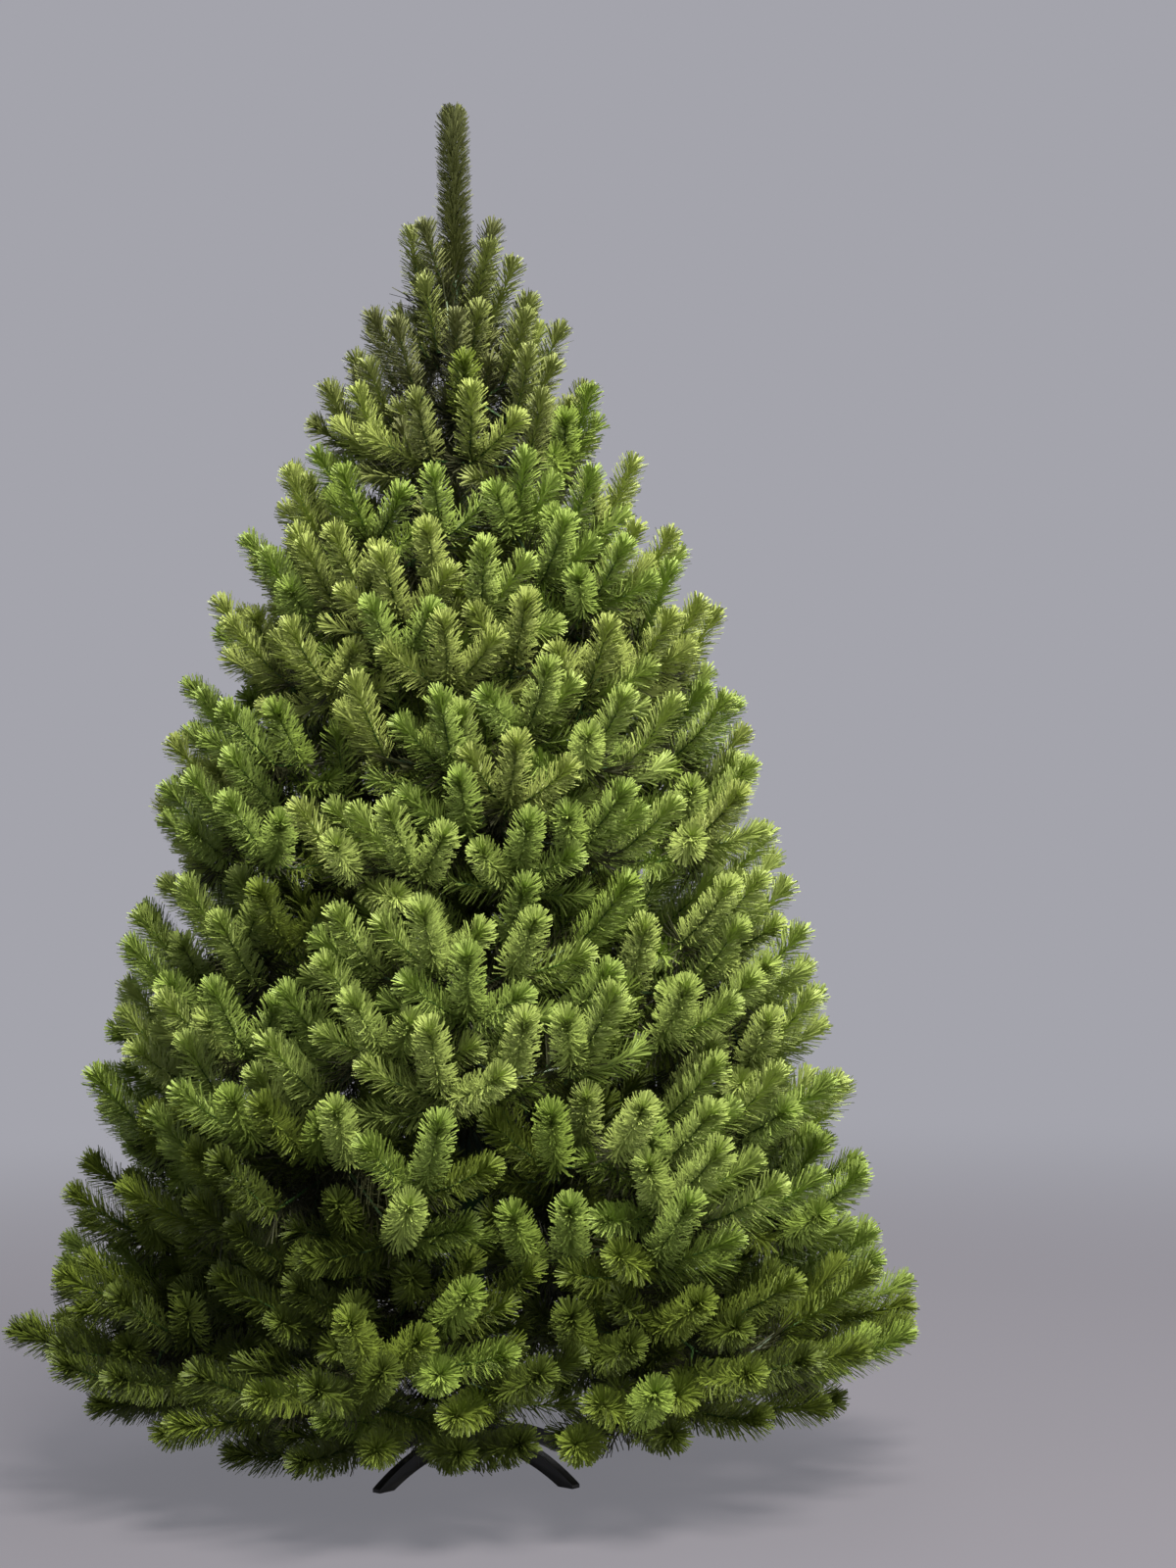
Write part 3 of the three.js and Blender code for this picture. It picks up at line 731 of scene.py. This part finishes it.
def fork_for(mass, root):
    """The point on the limbs of a mass where the twig of a shoot that starts at root leaves."""
    best = None
    for number, limb in enumerate(mass["limbs"]):
        start, end, index = limb
        ahead = (end - start).normalized()
        for share in FORKS["twig" if number else "stem"]:
            point = start.lerp(end, share)
            way = root - point
            cost = way.length * (FORKS["cost"] - way.normalized().dot(ahead))
            if best is None or cost < best[0]:
                best = (cost, point, index)
    return best[1], best[2]


def shoot_to(mass, tip, extra):
    """Where the shoot that ends at tip starts: it rises as its height says, and fans out."""
    out = tip - mass["start"]
    flat = Vector((out.x, out.y, 0))
    fan = math.atan2(out.z, flat.length)
    angle = lerp(math.radians(along(RISE, tip.z)), fan, FAN) + math.radians(extra)
    ahead = flat.normalized() * math.cos(angle) + Vector((0, 0, math.sin(angle)))
    return tip - ahead * SHOOT["length"] * size_at(tip.z)


def places_of(mass):
    """Functions that give the ends of a mass's shoots, each call a little moved."""
    tier, random = mass["tier"], mass["random"]
    places = []
    for row in range(tier["rows"]):
        level = (row + 0.5) / tier["rows"]
        arc = TURN / tier["count"] * reach_at(lerp(tier["low"], tier["high"], level))
        columns = max(1, int(arc / (SHOOT["spacing"] * size_at(tier["end"])) + 0.5))
        for column in range(columns):
            across = (2 * column + 1 + (0.5 if row % 2 else -0.5)) / columns - 1
            places.append((level, across, columns))
    places.sort(key=lambda place: abs(place[1]))

    def moved(level, across, columns):
        share = 1 - SCATTER["in"] * (1 + next(random))
        aside = across + SCATTER["round"] * next(random) / columns
        higher = level + SCATTER["up"] * next(random) / tier["rows"]
        share -= VALLEY["depth"] * valley(in_space(mass, 1, aside, higher))
        tip = in_space(mass, share, aside, higher)
        return shoot_to(mass, tip, SCATTER["turn"] * next(random)), tip

    return [lambda place=place: moved(*place) for place in places]


# The collars and the pole are in the way of twigs too, and have owners below nought.
growth = Growth()
for t, tier in enumerate(bough_tiers):
    half = Vector((0, 0, COLLAR["height"] * MM / 2))
    middle = Vector((0, 0, tier["root"]))
    growth.add(-2 - t, middle - half, middle + half, COLLAR["radius"] * MM)
for low, high, radius in (("foot", "thin", "lower"), ("thin", "top", "end")):
    rod_ends = [Vector((0, 0, POLE[at] * MM)) for at in (low, high)]
    growth.add(-1, *rod_ends, POLE[radius] * MM)
on_pole = len(growth.radii) - 1
for mass in masses:
    mass["random"] = seeded(mass["seed"])
    mass["twigs"] = []  # lines of wire: points and radii
    mass["brushes"] = []  # root, tip, reach of the needles, and the chance that deals its film
    mass["limbs"] = []  # start, end, and number in the growth
    mass["sprays"] = []  # root, tip, numbers of twig and brush, and chance
    if mass["bough"]:
        mass["carrier"] = growth.add(1000 + mass["seed"], *mass["bough"], BOUGH["root"] * MM)

# A brush's wire: the places of its points on the brush, after its foot, and its radius at each.
WIRE = {"places": (0, 0.3, 0.6, 0.85), "radii": [0.0022, 0.0016, 0.0013, 0.001, 0.0007]}
BODY = (0.2, 0.8)  # between these shares of its length a brush keeps others away
TWIG_ROOM = 0.0036  # radius that a twig keeps free


def bowed(root, tip, share):
    """A point on a brush's wire, which sags a little so that its end turns up."""
    sag = SAG * (tip - root).length * 4 * share * (1 - share)
    return root.lerp(tip, share) - Vector((0, 0, sag))


def add_brush(mass, twig_foot, root, tip, chance, skip, crowding):
    """Adds a brush with its wire, if it keeps clear of the others, and returns its number."""
    near, far = (root.lerp(tip, share) for share in BODY)
    radius = brush_reach(tip.z)
    if not growth.fits(mass["seed"], near, far, radius, True, skip, crowding):
        return None
    index = growth.add(mass["seed"], near, far, radius, True)
    mass["brushes"].append((root, tip, radius, chance))
    wire = [twig_foot] + [bowed(root, tip, share) for share in WIRE["places"]]
    mass["twigs"].append((wire, WIRE["radii"]))
    return index


def lowest_at(point):
    """How low tips may hang: in front they are bent up a little, clear of the legs."""
    return LOWEST + LIFT["up"] * math.exp(-((point.x / LIFT["half"]) ** 4)) * (point.y < 0)


def inside(point):
    """Whether a point is under the crown's surface, and not too near its top or bottom."""
    low = lowest_at(point)
    reach = reach_at(max(point.z, low)) * along(SWELL, point.z)
    reach *= 1 - VALLEY["depth"] * valley(point)
    return math.hypot(point.x, point.y) < reach and low < point.z < HIGHEST


# A spray's side shoots: to which side, how many degrees off, and how far back on the first one.
SIDES = ((1, 40, 0.05), (-1, 40, 0.05), (1, 76, 0.16), (-1, 76, 0.16))
# Tries for each, how they turn and lift at random, in degrees, their length as a share of the
# first one's and how it varies, and the length of the twig at their foot.
SIDE = {"tries": 5, "turn": 9, "lift": 16, "length": 0.9, "vary": 0.08, "twig": 0.01}
TOP = 0.82  # above this share of the height the tips are single


def side_shoots(mass, root, tip, twig, brush, chance):
    """The other shoots of a spray: they spread like a hand to both sides of the first."""
    random = mass["random"]
    ahead = (tip - root).normalized()
    side = ahead.cross(Vector((0, 0, 1)))
    side = side.normalized() if side.length > 0.1 else polar(1, mass["angle"] + math.pi / 2, 0)
    above = side.cross(ahead).normalized()
    length = (tip - root).length
    skip = [twig, brush]
    for aside, angle, back in SIDES if tip.z < TOP * HEIGHT else ():
        for _ in range(SIDE["tries"]):
            spread = math.radians(angle + SIDE["turn"] * next(random))
            lift = math.radians(SIDE["lift"] * next(random))
            way = ahead * math.cos(spread) + side * aside * math.sin(spread)
            way = (way * math.cos(lift) + above * math.sin(lift)).normalized()
            foot = root - ahead * length * back
            end = foot + way * length * (SIDE["length"] + SIDE["vary"] * next(random))
            if not inside(end):
                continue
            twig_foot = foot - ahead * SIDE["twig"]
            index = add_brush(mass, twig_foot, foot, end, chance, skip, SIDE_CROWDING)
            if index is not None:
                skip.append(index)
                break


def grow(mass, root, tip, held=None, crowding=None):
    """Adds a twig and its first shoot to a mass, if they fit. `held` is its foot and carrier."""
    if tip.z > HIGHEST or tip.z < lowest_at(tip):
        return False
    fork, parent = held or (fork_for(mass, root) if mass["limbs"] else (mass["start"], None))
    skip = [] if parent is None else [parent]
    seed = mass["seed"]
    if parent is not None and not growth.fits(seed, fork, root, TWIG_ROOM, False, skip, 1.0):
        return False
    chance = next(mass["random"])
    crowding = 0 if parent is None else crowding or CROWDING
    index = add_brush(mass, fork, root, tip, chance, skip, crowding)
    if index is None:
        return False
    twig = growth.add(seed, fork, root, TWIG_ROOM)
    mass["limbs"].append((fork, root, twig))
    mass["sprays"].append((root, tip, twig, index, chance))
    return True


for mass in masses:
    grow(mass, shoot_to(mass, mass["end"], 0), mass["end"])

# Near its top the crown is a cone of short upright tips, set in rings round the foot of the leader.
# Each ring has its height, its number of tips, and the share of a step by which it is turned.
RINGS = ((1.648, 5, 0.3), (1.603, 7, 0.1), (1.553, 9, 0.5), (1.5, 11, 0.2))
# The tips' share of the crown's radius, how far they move up at random and turn, in degrees, how
# far under its root a shoot leaves the pole, and how much of their breadth they keep apart.
RING = {"reach": 0.94, "up": 0.005, "turn": 5, "foot": 0.03, "crowding": 0.66}
for height, count, turn in RINGS:
    for number in range(count):
        angle = TURN * (number + turn) / count
        nearest = max(
            (mass for mass in masses if mass["tier"] is TIERS[-1]),
            key=lambda mass: math.cos(mass["angle"] - angle),
        )
        random = nearest["random"]
        tip = polar(RING["reach"] * reach_at(height), angle, height + RING["up"] * next(random))
        root = shoot_to(nearest, tip, RING["turn"] * next(random))
        foot = Vector((0, 0, root.z - RING["foot"]))
        grow(nearest, root, tip, (foot, on_pole), RING["crowding"])

for mass in masses:
    mass["places"] = places_of(mass)
for turn in range(max(len(mass["places"]) for mass in masses)):
    for mass in masses:
        if turn < len(mass["places"]):
            for _ in range(TRIES):
                if grow(mass, *mass["places"][turn]()):
                    break
for mass in masses:
    for spray in mass["sprays"]:
        side_shoots(mass, *spray)

# What is left bare of the crown's surface is filled by single shoots, and its inside by others
# that grow nearer to the pole.
# Each has its tries for the tiers from the lowest, and the shares of the radius of its tips.
FILLS = (((240, 160, 160, 160, 160, 160), 0.8, 0.97), ((460, 200, 150, 110, 90, 60), 0.28, 0.75))
INNER = 0.6  # shoots whose tips are further in than this share are twisted onto the bough itself
INNER_CROWDING = 0.55
SURFACE = 0.78  # tips further out than this share lie at the crown's surface
OPEN_BELOW = 0.42  # under this height the surface is left more open
SKIRT = 0.2  # but not under this one, where tips hide the foot of the pole
# The random number, from -1 to 1, above which no tip grows where it is open, the depth of a gap
# that none grow in, and their turn at random. The lowest tier's inner tips are drawn down to a
# level by a power, and a twig leaves its bough at this least share of it.
FILL = {"open": 0.1, "gap": 0.3, "turn": 14, "down": -0.35, "power": 1.8, "least": 0.1}
for tries, low, high in FILLS:
    for attempt in range(max(tries)):
        for mass in masses:
            if attempt >= tries[TIERS.index(mass["tier"])]:
                continue
            random = mass["random"]
            share = lerp(low, high, (next(random) + 1) / 2)
            level = (next(random) + 1) / 2
            if mass["tier"] is TIERS[0] and share < SURFACE:
                level = lerp(FILL["down"], 1, level ** FILL["power"])
            tip = in_space(mass, share, next(random), level)
            if share > SURFACE and SKIRT < tip.z < OPEN_BELOW and next(random) > FILL["open"]:
                continue
            if share > SURFACE and valley(tip) > FILL["gap"]:
                continue
            crowding = CROWDING if share > SURFACE else INNER_CROWDING
            root = shoot_to(mass, tip, FILL["turn"] * next(random))
            held = None
            if mass["bough"] and share < INNER:
                start, end = mass["bough"]
                along_bough = (root - start).dot(end - start) / (end - start).length_squared
                held = (start.lerp(end, min(1, max(FILL["least"], along_bough))), mass["carrier"])
            grow(mass, root, tip, held, crowding)

# ---------------- needles
# Strips of soft PVC film, cut and wound between two twisted wires, so that they stand out as a
# bottle brush and lean forward. A spray is one colour of film. Plain colours, dealt by spray, and
# the darker ones dealt where the crown is in shade, as painted shade.

# A needle's breadth at its foot and tip, the pitch at which the wires are twisted, how its length
# varies, and how it rolls, strays at its tip, and strays round the wire.
NEEDLE = {"foot": 0.0018, "tip": 0.0015, "pitch": 0.011, "long": (0.92, 1.03)}
NEEDLE.update({"roll": 0.6, "stray": 0.0012, "round": 0.4})
# The needles on a brush this long, the share of them on one that is hidden in the crown, and the
# share of them that stand in its round end.
BRUSH = {"needles": 430, "length": 0.13, "hidden": 0.5, "cap": 0.19}
# Needles on a twig or bough: their reach, how many there are to a metre, the share of a bough that
# is bare of them, and the shortest twig that has any.
LIMB = {"reach": 0.036, "needles": 1200, "bare": 0.4, "shortest": 0.02}
# The dark films, deep, dusk and shade, are dealt mostly as painted shade, to tips and needles in the
# crown's shade.
FILM = {
    "spring": "98a858",
    "grass": "8fa150",
    "fir": "869b48",
    "spruce": "7c913c",
    "deep": "687828",
    "dusk": "4e5c1a",
    "hay": "93a052",
    "olive": "7c8647",
    "moss": "676d3f",
    "shade": "303319",
}


def film(name, code):
    # PVC film: satin, a plain colour through and through.
    material, tree = finish_named("pvc_film_" + name)
    settings = {"Base Color": linear(code), "Roughness": 0.58, "IOR": 1.45}
    surface = node(tree, "BsdfPrincipled", settings).outputs["BSDF"]
    node(tree, "OutputMaterial", {}, {"Surface": surface})
    return material


FILMS = [film(name, code) for name, code in FILM.items()]
TONE = {name: number for number, name in enumerate(FILM)}


# What makes a spray's film darker: a base and its chance, which give the film its own tone, and
# painted shade: on the left, away from the key lamp, by the depth in a gap between boughs, and by
# being low, deep in or high: past which share, and how fast. Deep in, the film is also a darker
# green of its own.
TONE_AND_PAINTED_SHADE = {"base": 0.26, "chance": 0.24, "side": 0.1, "gap": 0.5}
TONE_AND_PAINTED_SHADE.update({"low": (0.32, 2.6), "deep": (0.8, 1.6), "high": (0.72, 2.2)})
# Drier films stand above this share of the height, by chance, and more of them further up. They
# change at two degrees of darkness, painted shade included, and the others at each sixth.
DRY = {"above": 0.5, "chance": 0.6, "rise": 4.5, "hay": 0.36, "olive": 0.6}


def tone_of(place, chance):
    """Which film a spray is made of: its own tone by chance, darkened by painted shade on the left,
    low down, near the top, deep in and in the gaps.
    """
    height = place.z / HEIGHT
    share = math.hypot(place.x, place.y) / reach_at(place.z)
    # Painted shade: films are dealt darker where the crown lies in shade, and on the side away from the
    # key lamp.
    tone_and_shade = TONE_AND_PAINTED_SHADE["base"] - TONE_AND_PAINTED_SHADE["chance"] * chance - TONE_AND_PAINTED_SHADE["side"] * place.x / REACH
    (low, lower), (deep, deeper), (high, higher) = TONE_AND_PAINTED_SHADE["low"], TONE_AND_PAINTED_SHADE["deep"], TONE_AND_PAINTED_SHADE["high"]
    tone_and_shade += lower * max(low - height, 0) + deeper * max(deep - share, 0) + higher * max(height - high, 0)
    gap = valley(place)
    tone_and_shade += TONE_AND_PAINTED_SHADE["gap"] * gap
    if height > DRY["above"] and chance > DRY["chance"] - DRY["rise"] * (height - DRY["above"]):
        return TONE["hay" if tone_and_shade < DRY["hay"] else "olive" if tone_and_shade < DRY["olive"] else "moss"]
    seen = share > SURFACE and gap < 0.6 and tone_and_shade < 0.9
    return min(TONE["deep" if seen else "dusk"], max(0, int(6 * tone_and_shade)))


# A brush with a round end has its last needles "back" times their reach before its tip. Those of
# the end stand on the last "deep" share of the wire, at an angle whose cosine is "lean" or more.
# Over the last "closing" share the others close to the wire, and they shorten along the taper.
CAP = {"back": 0.66, "deep": 0.16, "lean": 0.66, "closing": 0.34, "taper": (1.02, 0.9)}
# Degrees between needles and their wire at its foot and end, how far they close, and scatter.
LEAN = {"foot": 60, "end": 52, "closed": 22, "scatter": 5}


def unit(v):
    return v / np.maximum(np.linalg.norm(v, axis=-1, keepdims=True), 1e-12)


def wind(wires, rng):
    """Needles on wires. A wire is (start, end, reach, needles, tone, share in its round end)."""
    start = np.array([tuple(w[0]) for w in wires])
    way = np.array([tuple(w[1]) for w in wires]) - start
    reach = np.array([w[2] for w in wires])
    count = np.array([w[3] for w in wires])
    tones = np.array([w[4] for w in wires])
    caps = np.array([w[5] for w in wires])
    length = np.linalg.norm(way, axis=1)
    straight = way / length[:, None]
    helper = np.where(np.abs(straight[:, 2:]) > 0.9, [[1.0, 0, 0]], [[0, 0, 1.0]])
    side = unit(np.cross(straight, helper))
    w = np.repeat(np.arange(len(wires)), count)
    n = len(w)
    order = np.arange(n) - np.repeat(np.cumsum(count) - count, count)
    capped = rng.random(n) < caps[w]
    end_share = (length - np.where(caps > 0, CAP["back"], 0) * reach) / length
    evenly = ((order + rng.random(n)) / count[w]) ** np.where(caps[w] > 0, 0.85, 1)
    share = np.where(capped, 1 - CAP["deep"] * rng.random(n), evenly) * end_share[w]
    bow = np.array([[0, 0, -SAG]]) * length[w][:, None] * 4
    foot = start[w] + way[w] * share[:, None] + bow * (share * (1 - share))[:, None]
    ahead = unit(way[w] + bow * (1 - 2 * share)[:, None])
    aside = unit(side[w] - ahead * (side[w] * ahead).sum(1)[:, None])
    other = np.cross(ahead, aside)
    distance = share * length[w]
    helix = TURN * distance / NEEDLE["pitch"] + math.pi * (order % 2)
    helix += rng.normal(0, NEEDLE["round"], n)
    helix = np.where(capped, rng.random(n) * TURN, helix)
    nearing = (share / end_share[w] - (1 - CAP["closing"])) / CAP["closing"]
    closed = LEAN["closed"] * (np.clip(nearing, 0, 1) ** 1.5 * (caps[w] > 0))
    lean = lerp(LEAN["foot"], LEAN["end"], share) - closed
    lean = np.radians(lean + rng.normal(0, LEAN["scatter"], n))
    lean = np.where(capped, np.arccos(rng.uniform(CAP["lean"], 1, n)), lean)
    out = aside * np.cos(helix)[:, None] + other * np.sin(helix)[:, None]
    heading = ahead * np.cos(lean)[:, None] + out * np.sin(lean)[:, None]
    radius = reach[w] * np.where(caps[w] > 0, lerp(*CAP["taper"], share**1.5), 1)
    long = radius / np.where(capped, 1, np.sin(lean)) * rng.uniform(*NEEDLE["long"], n)
    # Near the end of the wire the needles are cut to a dome.
    forward = long * np.cos(lean) - (end_share[w] * length[w] - distance)
    radial = long * np.sin(lean)
    beyond = np.where((forward > 0) & (caps[w] > 0), np.hypot(forward, radial) / radius, 1)
    long = long / np.maximum(beyond, 1)
    roll = rng.uniform(-NEEDLE["roll"], NEEDLE["roll"], n) * np.where(capped, 2, 1)
    across = unit(np.cross(heading, out + 1e-6))
    flat = np.cross(heading, across)
    width = across * np.cos(roll)[:, None] + flat * np.sin(roll)[:, None]
    tip = foot + heading * long[:, None] + rng.normal(0, NEEDLE["stray"], (n, 3))
    a, b = width * NEEDLE["foot"] / 2, width * NEEDLE["tip"] / 2
    corners = np.stack([foot - a, foot + a, tip + b, tip - b], axis=1)
    return corners, tones[w]


def leaf_mesh(name, corners, tones):
    """A mesh of loose four-cornered strips, each with its own material."""
    mesh = bpy.data.meshes.new(name)
    count = len(corners)
    mesh.vertices.add(4 * count)
    mesh.vertices.foreach_set("co", corners.astype(np.float32).ravel())
    mesh.loops.add(4 * count)
    mesh.loops.foreach_set("vertex_index", np.arange(4 * count, dtype=np.int32))
    mesh.polygons.add(count)
    mesh.polygons.foreach_set("loop_start", np.arange(0, 4 * count, 4, dtype=np.int32))
    mesh.polygons.foreach_set("material_index", tones.astype(np.int32))
    mesh.update(calc_edges=True)
    return mesh


def spray_piece(name, wires, seed, node_name):
    """Makes the needles of a node of the solids, with every film in its material slots."""
    mesh = leaf_mesh(name, *wind(wires, np.random.default_rng(seed)))
    placed(name, mesh, FILMS, "needles", node_name)


for mass in masses:
    wires = []
    for root, tip, reach, chance in mass["brushes"]:
        hidden = math.hypot(tip.x, tip.y) < SURFACE * reach_at(tip.z)
        thinned = BRUSH["hidden"] if hidden else 1
        count = int(BRUSH["needles"] * (tip - root).length / BRUSH["length"] * thinned)
        wires.append((root, tip, reach, count, tone_of(tip, chance), BRUSH["cap"]))
    # Painted shade: the needles on the twigs and bough inside a mass are of the near-black film shade.
    limbs = [(start, end) for start, end, _ in mass["limbs"]]
    if mass["bough"]:
        start, end = mass["bough"]
        limbs.append((start.lerp(end, LIMB["bare"]), end))
    for start, end in limbs:
        length = (end - start).length
        if length > LIMB["shortest"]:
            count = int(length * LIMB["needles"])
            wires.append((start, end, LIMB["reach"], count, TONE["shade"], 0))
    spray_piece("needles_" + mass["name"], wires, mass["seed"], "foliage_" + mass["name"])

# ---------------- twigs
# Soft iron wire, twisted in pairs and painted green, which carries the needles.


def tubes(lines, sides=5):
    """Arrays of corners and faces for tubes along lines of points with a radius at each."""
    corners, faces = [], []
    for points, radii in lines:
        base = len(corners)
        for k, (point, radius) in enumerate(zip(points, radii)):
            before, after = points[max(k - 1, 0)], points[min(k + 1, len(points) - 1)]
            ahead = (after - before).normalized()
            side = ahead.cross(Vector((1, 0, 0) if abs(ahead.z) > 0.9 else (0, 0, 1))).normalized()
            other = ahead.cross(side)
            for s in range(sides):
                angle = TURN * s / sides
                out = side * math.cos(angle) * radius
                corners.append(point + out + other * math.sin(angle) * radius)
        for k in range(len(points) - 1):
            for s in range(sides):
                n = (s + 1) % sides
                low, high = base + k * sides, base + (k + 1) * sides
                faces.append((low + s, low + n, high + n, high + s))
        faces.append(tuple(base + s for s in reversed(range(sides))))
        last = base + (len(points) - 1) * sides
        faces.append(tuple(last + s for s in range(sides)))
    return corners, faces


def wire_piece(name, lines):
    corners, faces = tubes(lines)
    mesh = bpy.data.meshes.new(name)
    mesh.from_pydata([tuple(corner) for corner in corners], [], faces)
    placed(name, mesh, [FILM_WRAP], "bough_paint")


for t, tier in enumerate(TIERS):
    lines = [line for mass in masses if mass["tier"] is tier for line in mass["twigs"]]
    wire_piece(f"twigs_{t + 1}", lines)

# ---------------- leader
# The leader is one long slim brush of the same film and wire, which stands on the end of the pole.
# More needles are wound round the pole's own end, so that no paint shows under it.

# Each brush has its lowest and highest point, the reach of its needles, how many there are, and
# the share of them in its round end.
LEADER = {"foot": POLE["top"] * MM + 0.001, "tip": HEIGHT, "seed": 99}
LEADER_BRUSHES = ((LEADER["foot"], LEADER["tip"], 0.0235, 2200, 0.09), (1.47, 1.6, 0.027, 700, 0))
STALK = {"short": 0.02, "radii": [0.003, 0.0012]}  # its wire ends this far under the tip

leader_wires = []
for low, high, reach, count, cap in LEADER_BRUSHES:
    ends = Vector((0, 0, low)), Vector((0, 0, high))
    leader_wires.append((*ends, reach, count, TONE["moss"], cap))
spray_piece("needles_leader", leader_wires, LEADER["seed"], "leader")
stalk = [Vector((0, 0, LEADER["foot"])), Vector((0, 0, LEADER["tip"] - STALK["short"]))]
wire_piece("leader_wire", [(stalk, STALK["radii"])])
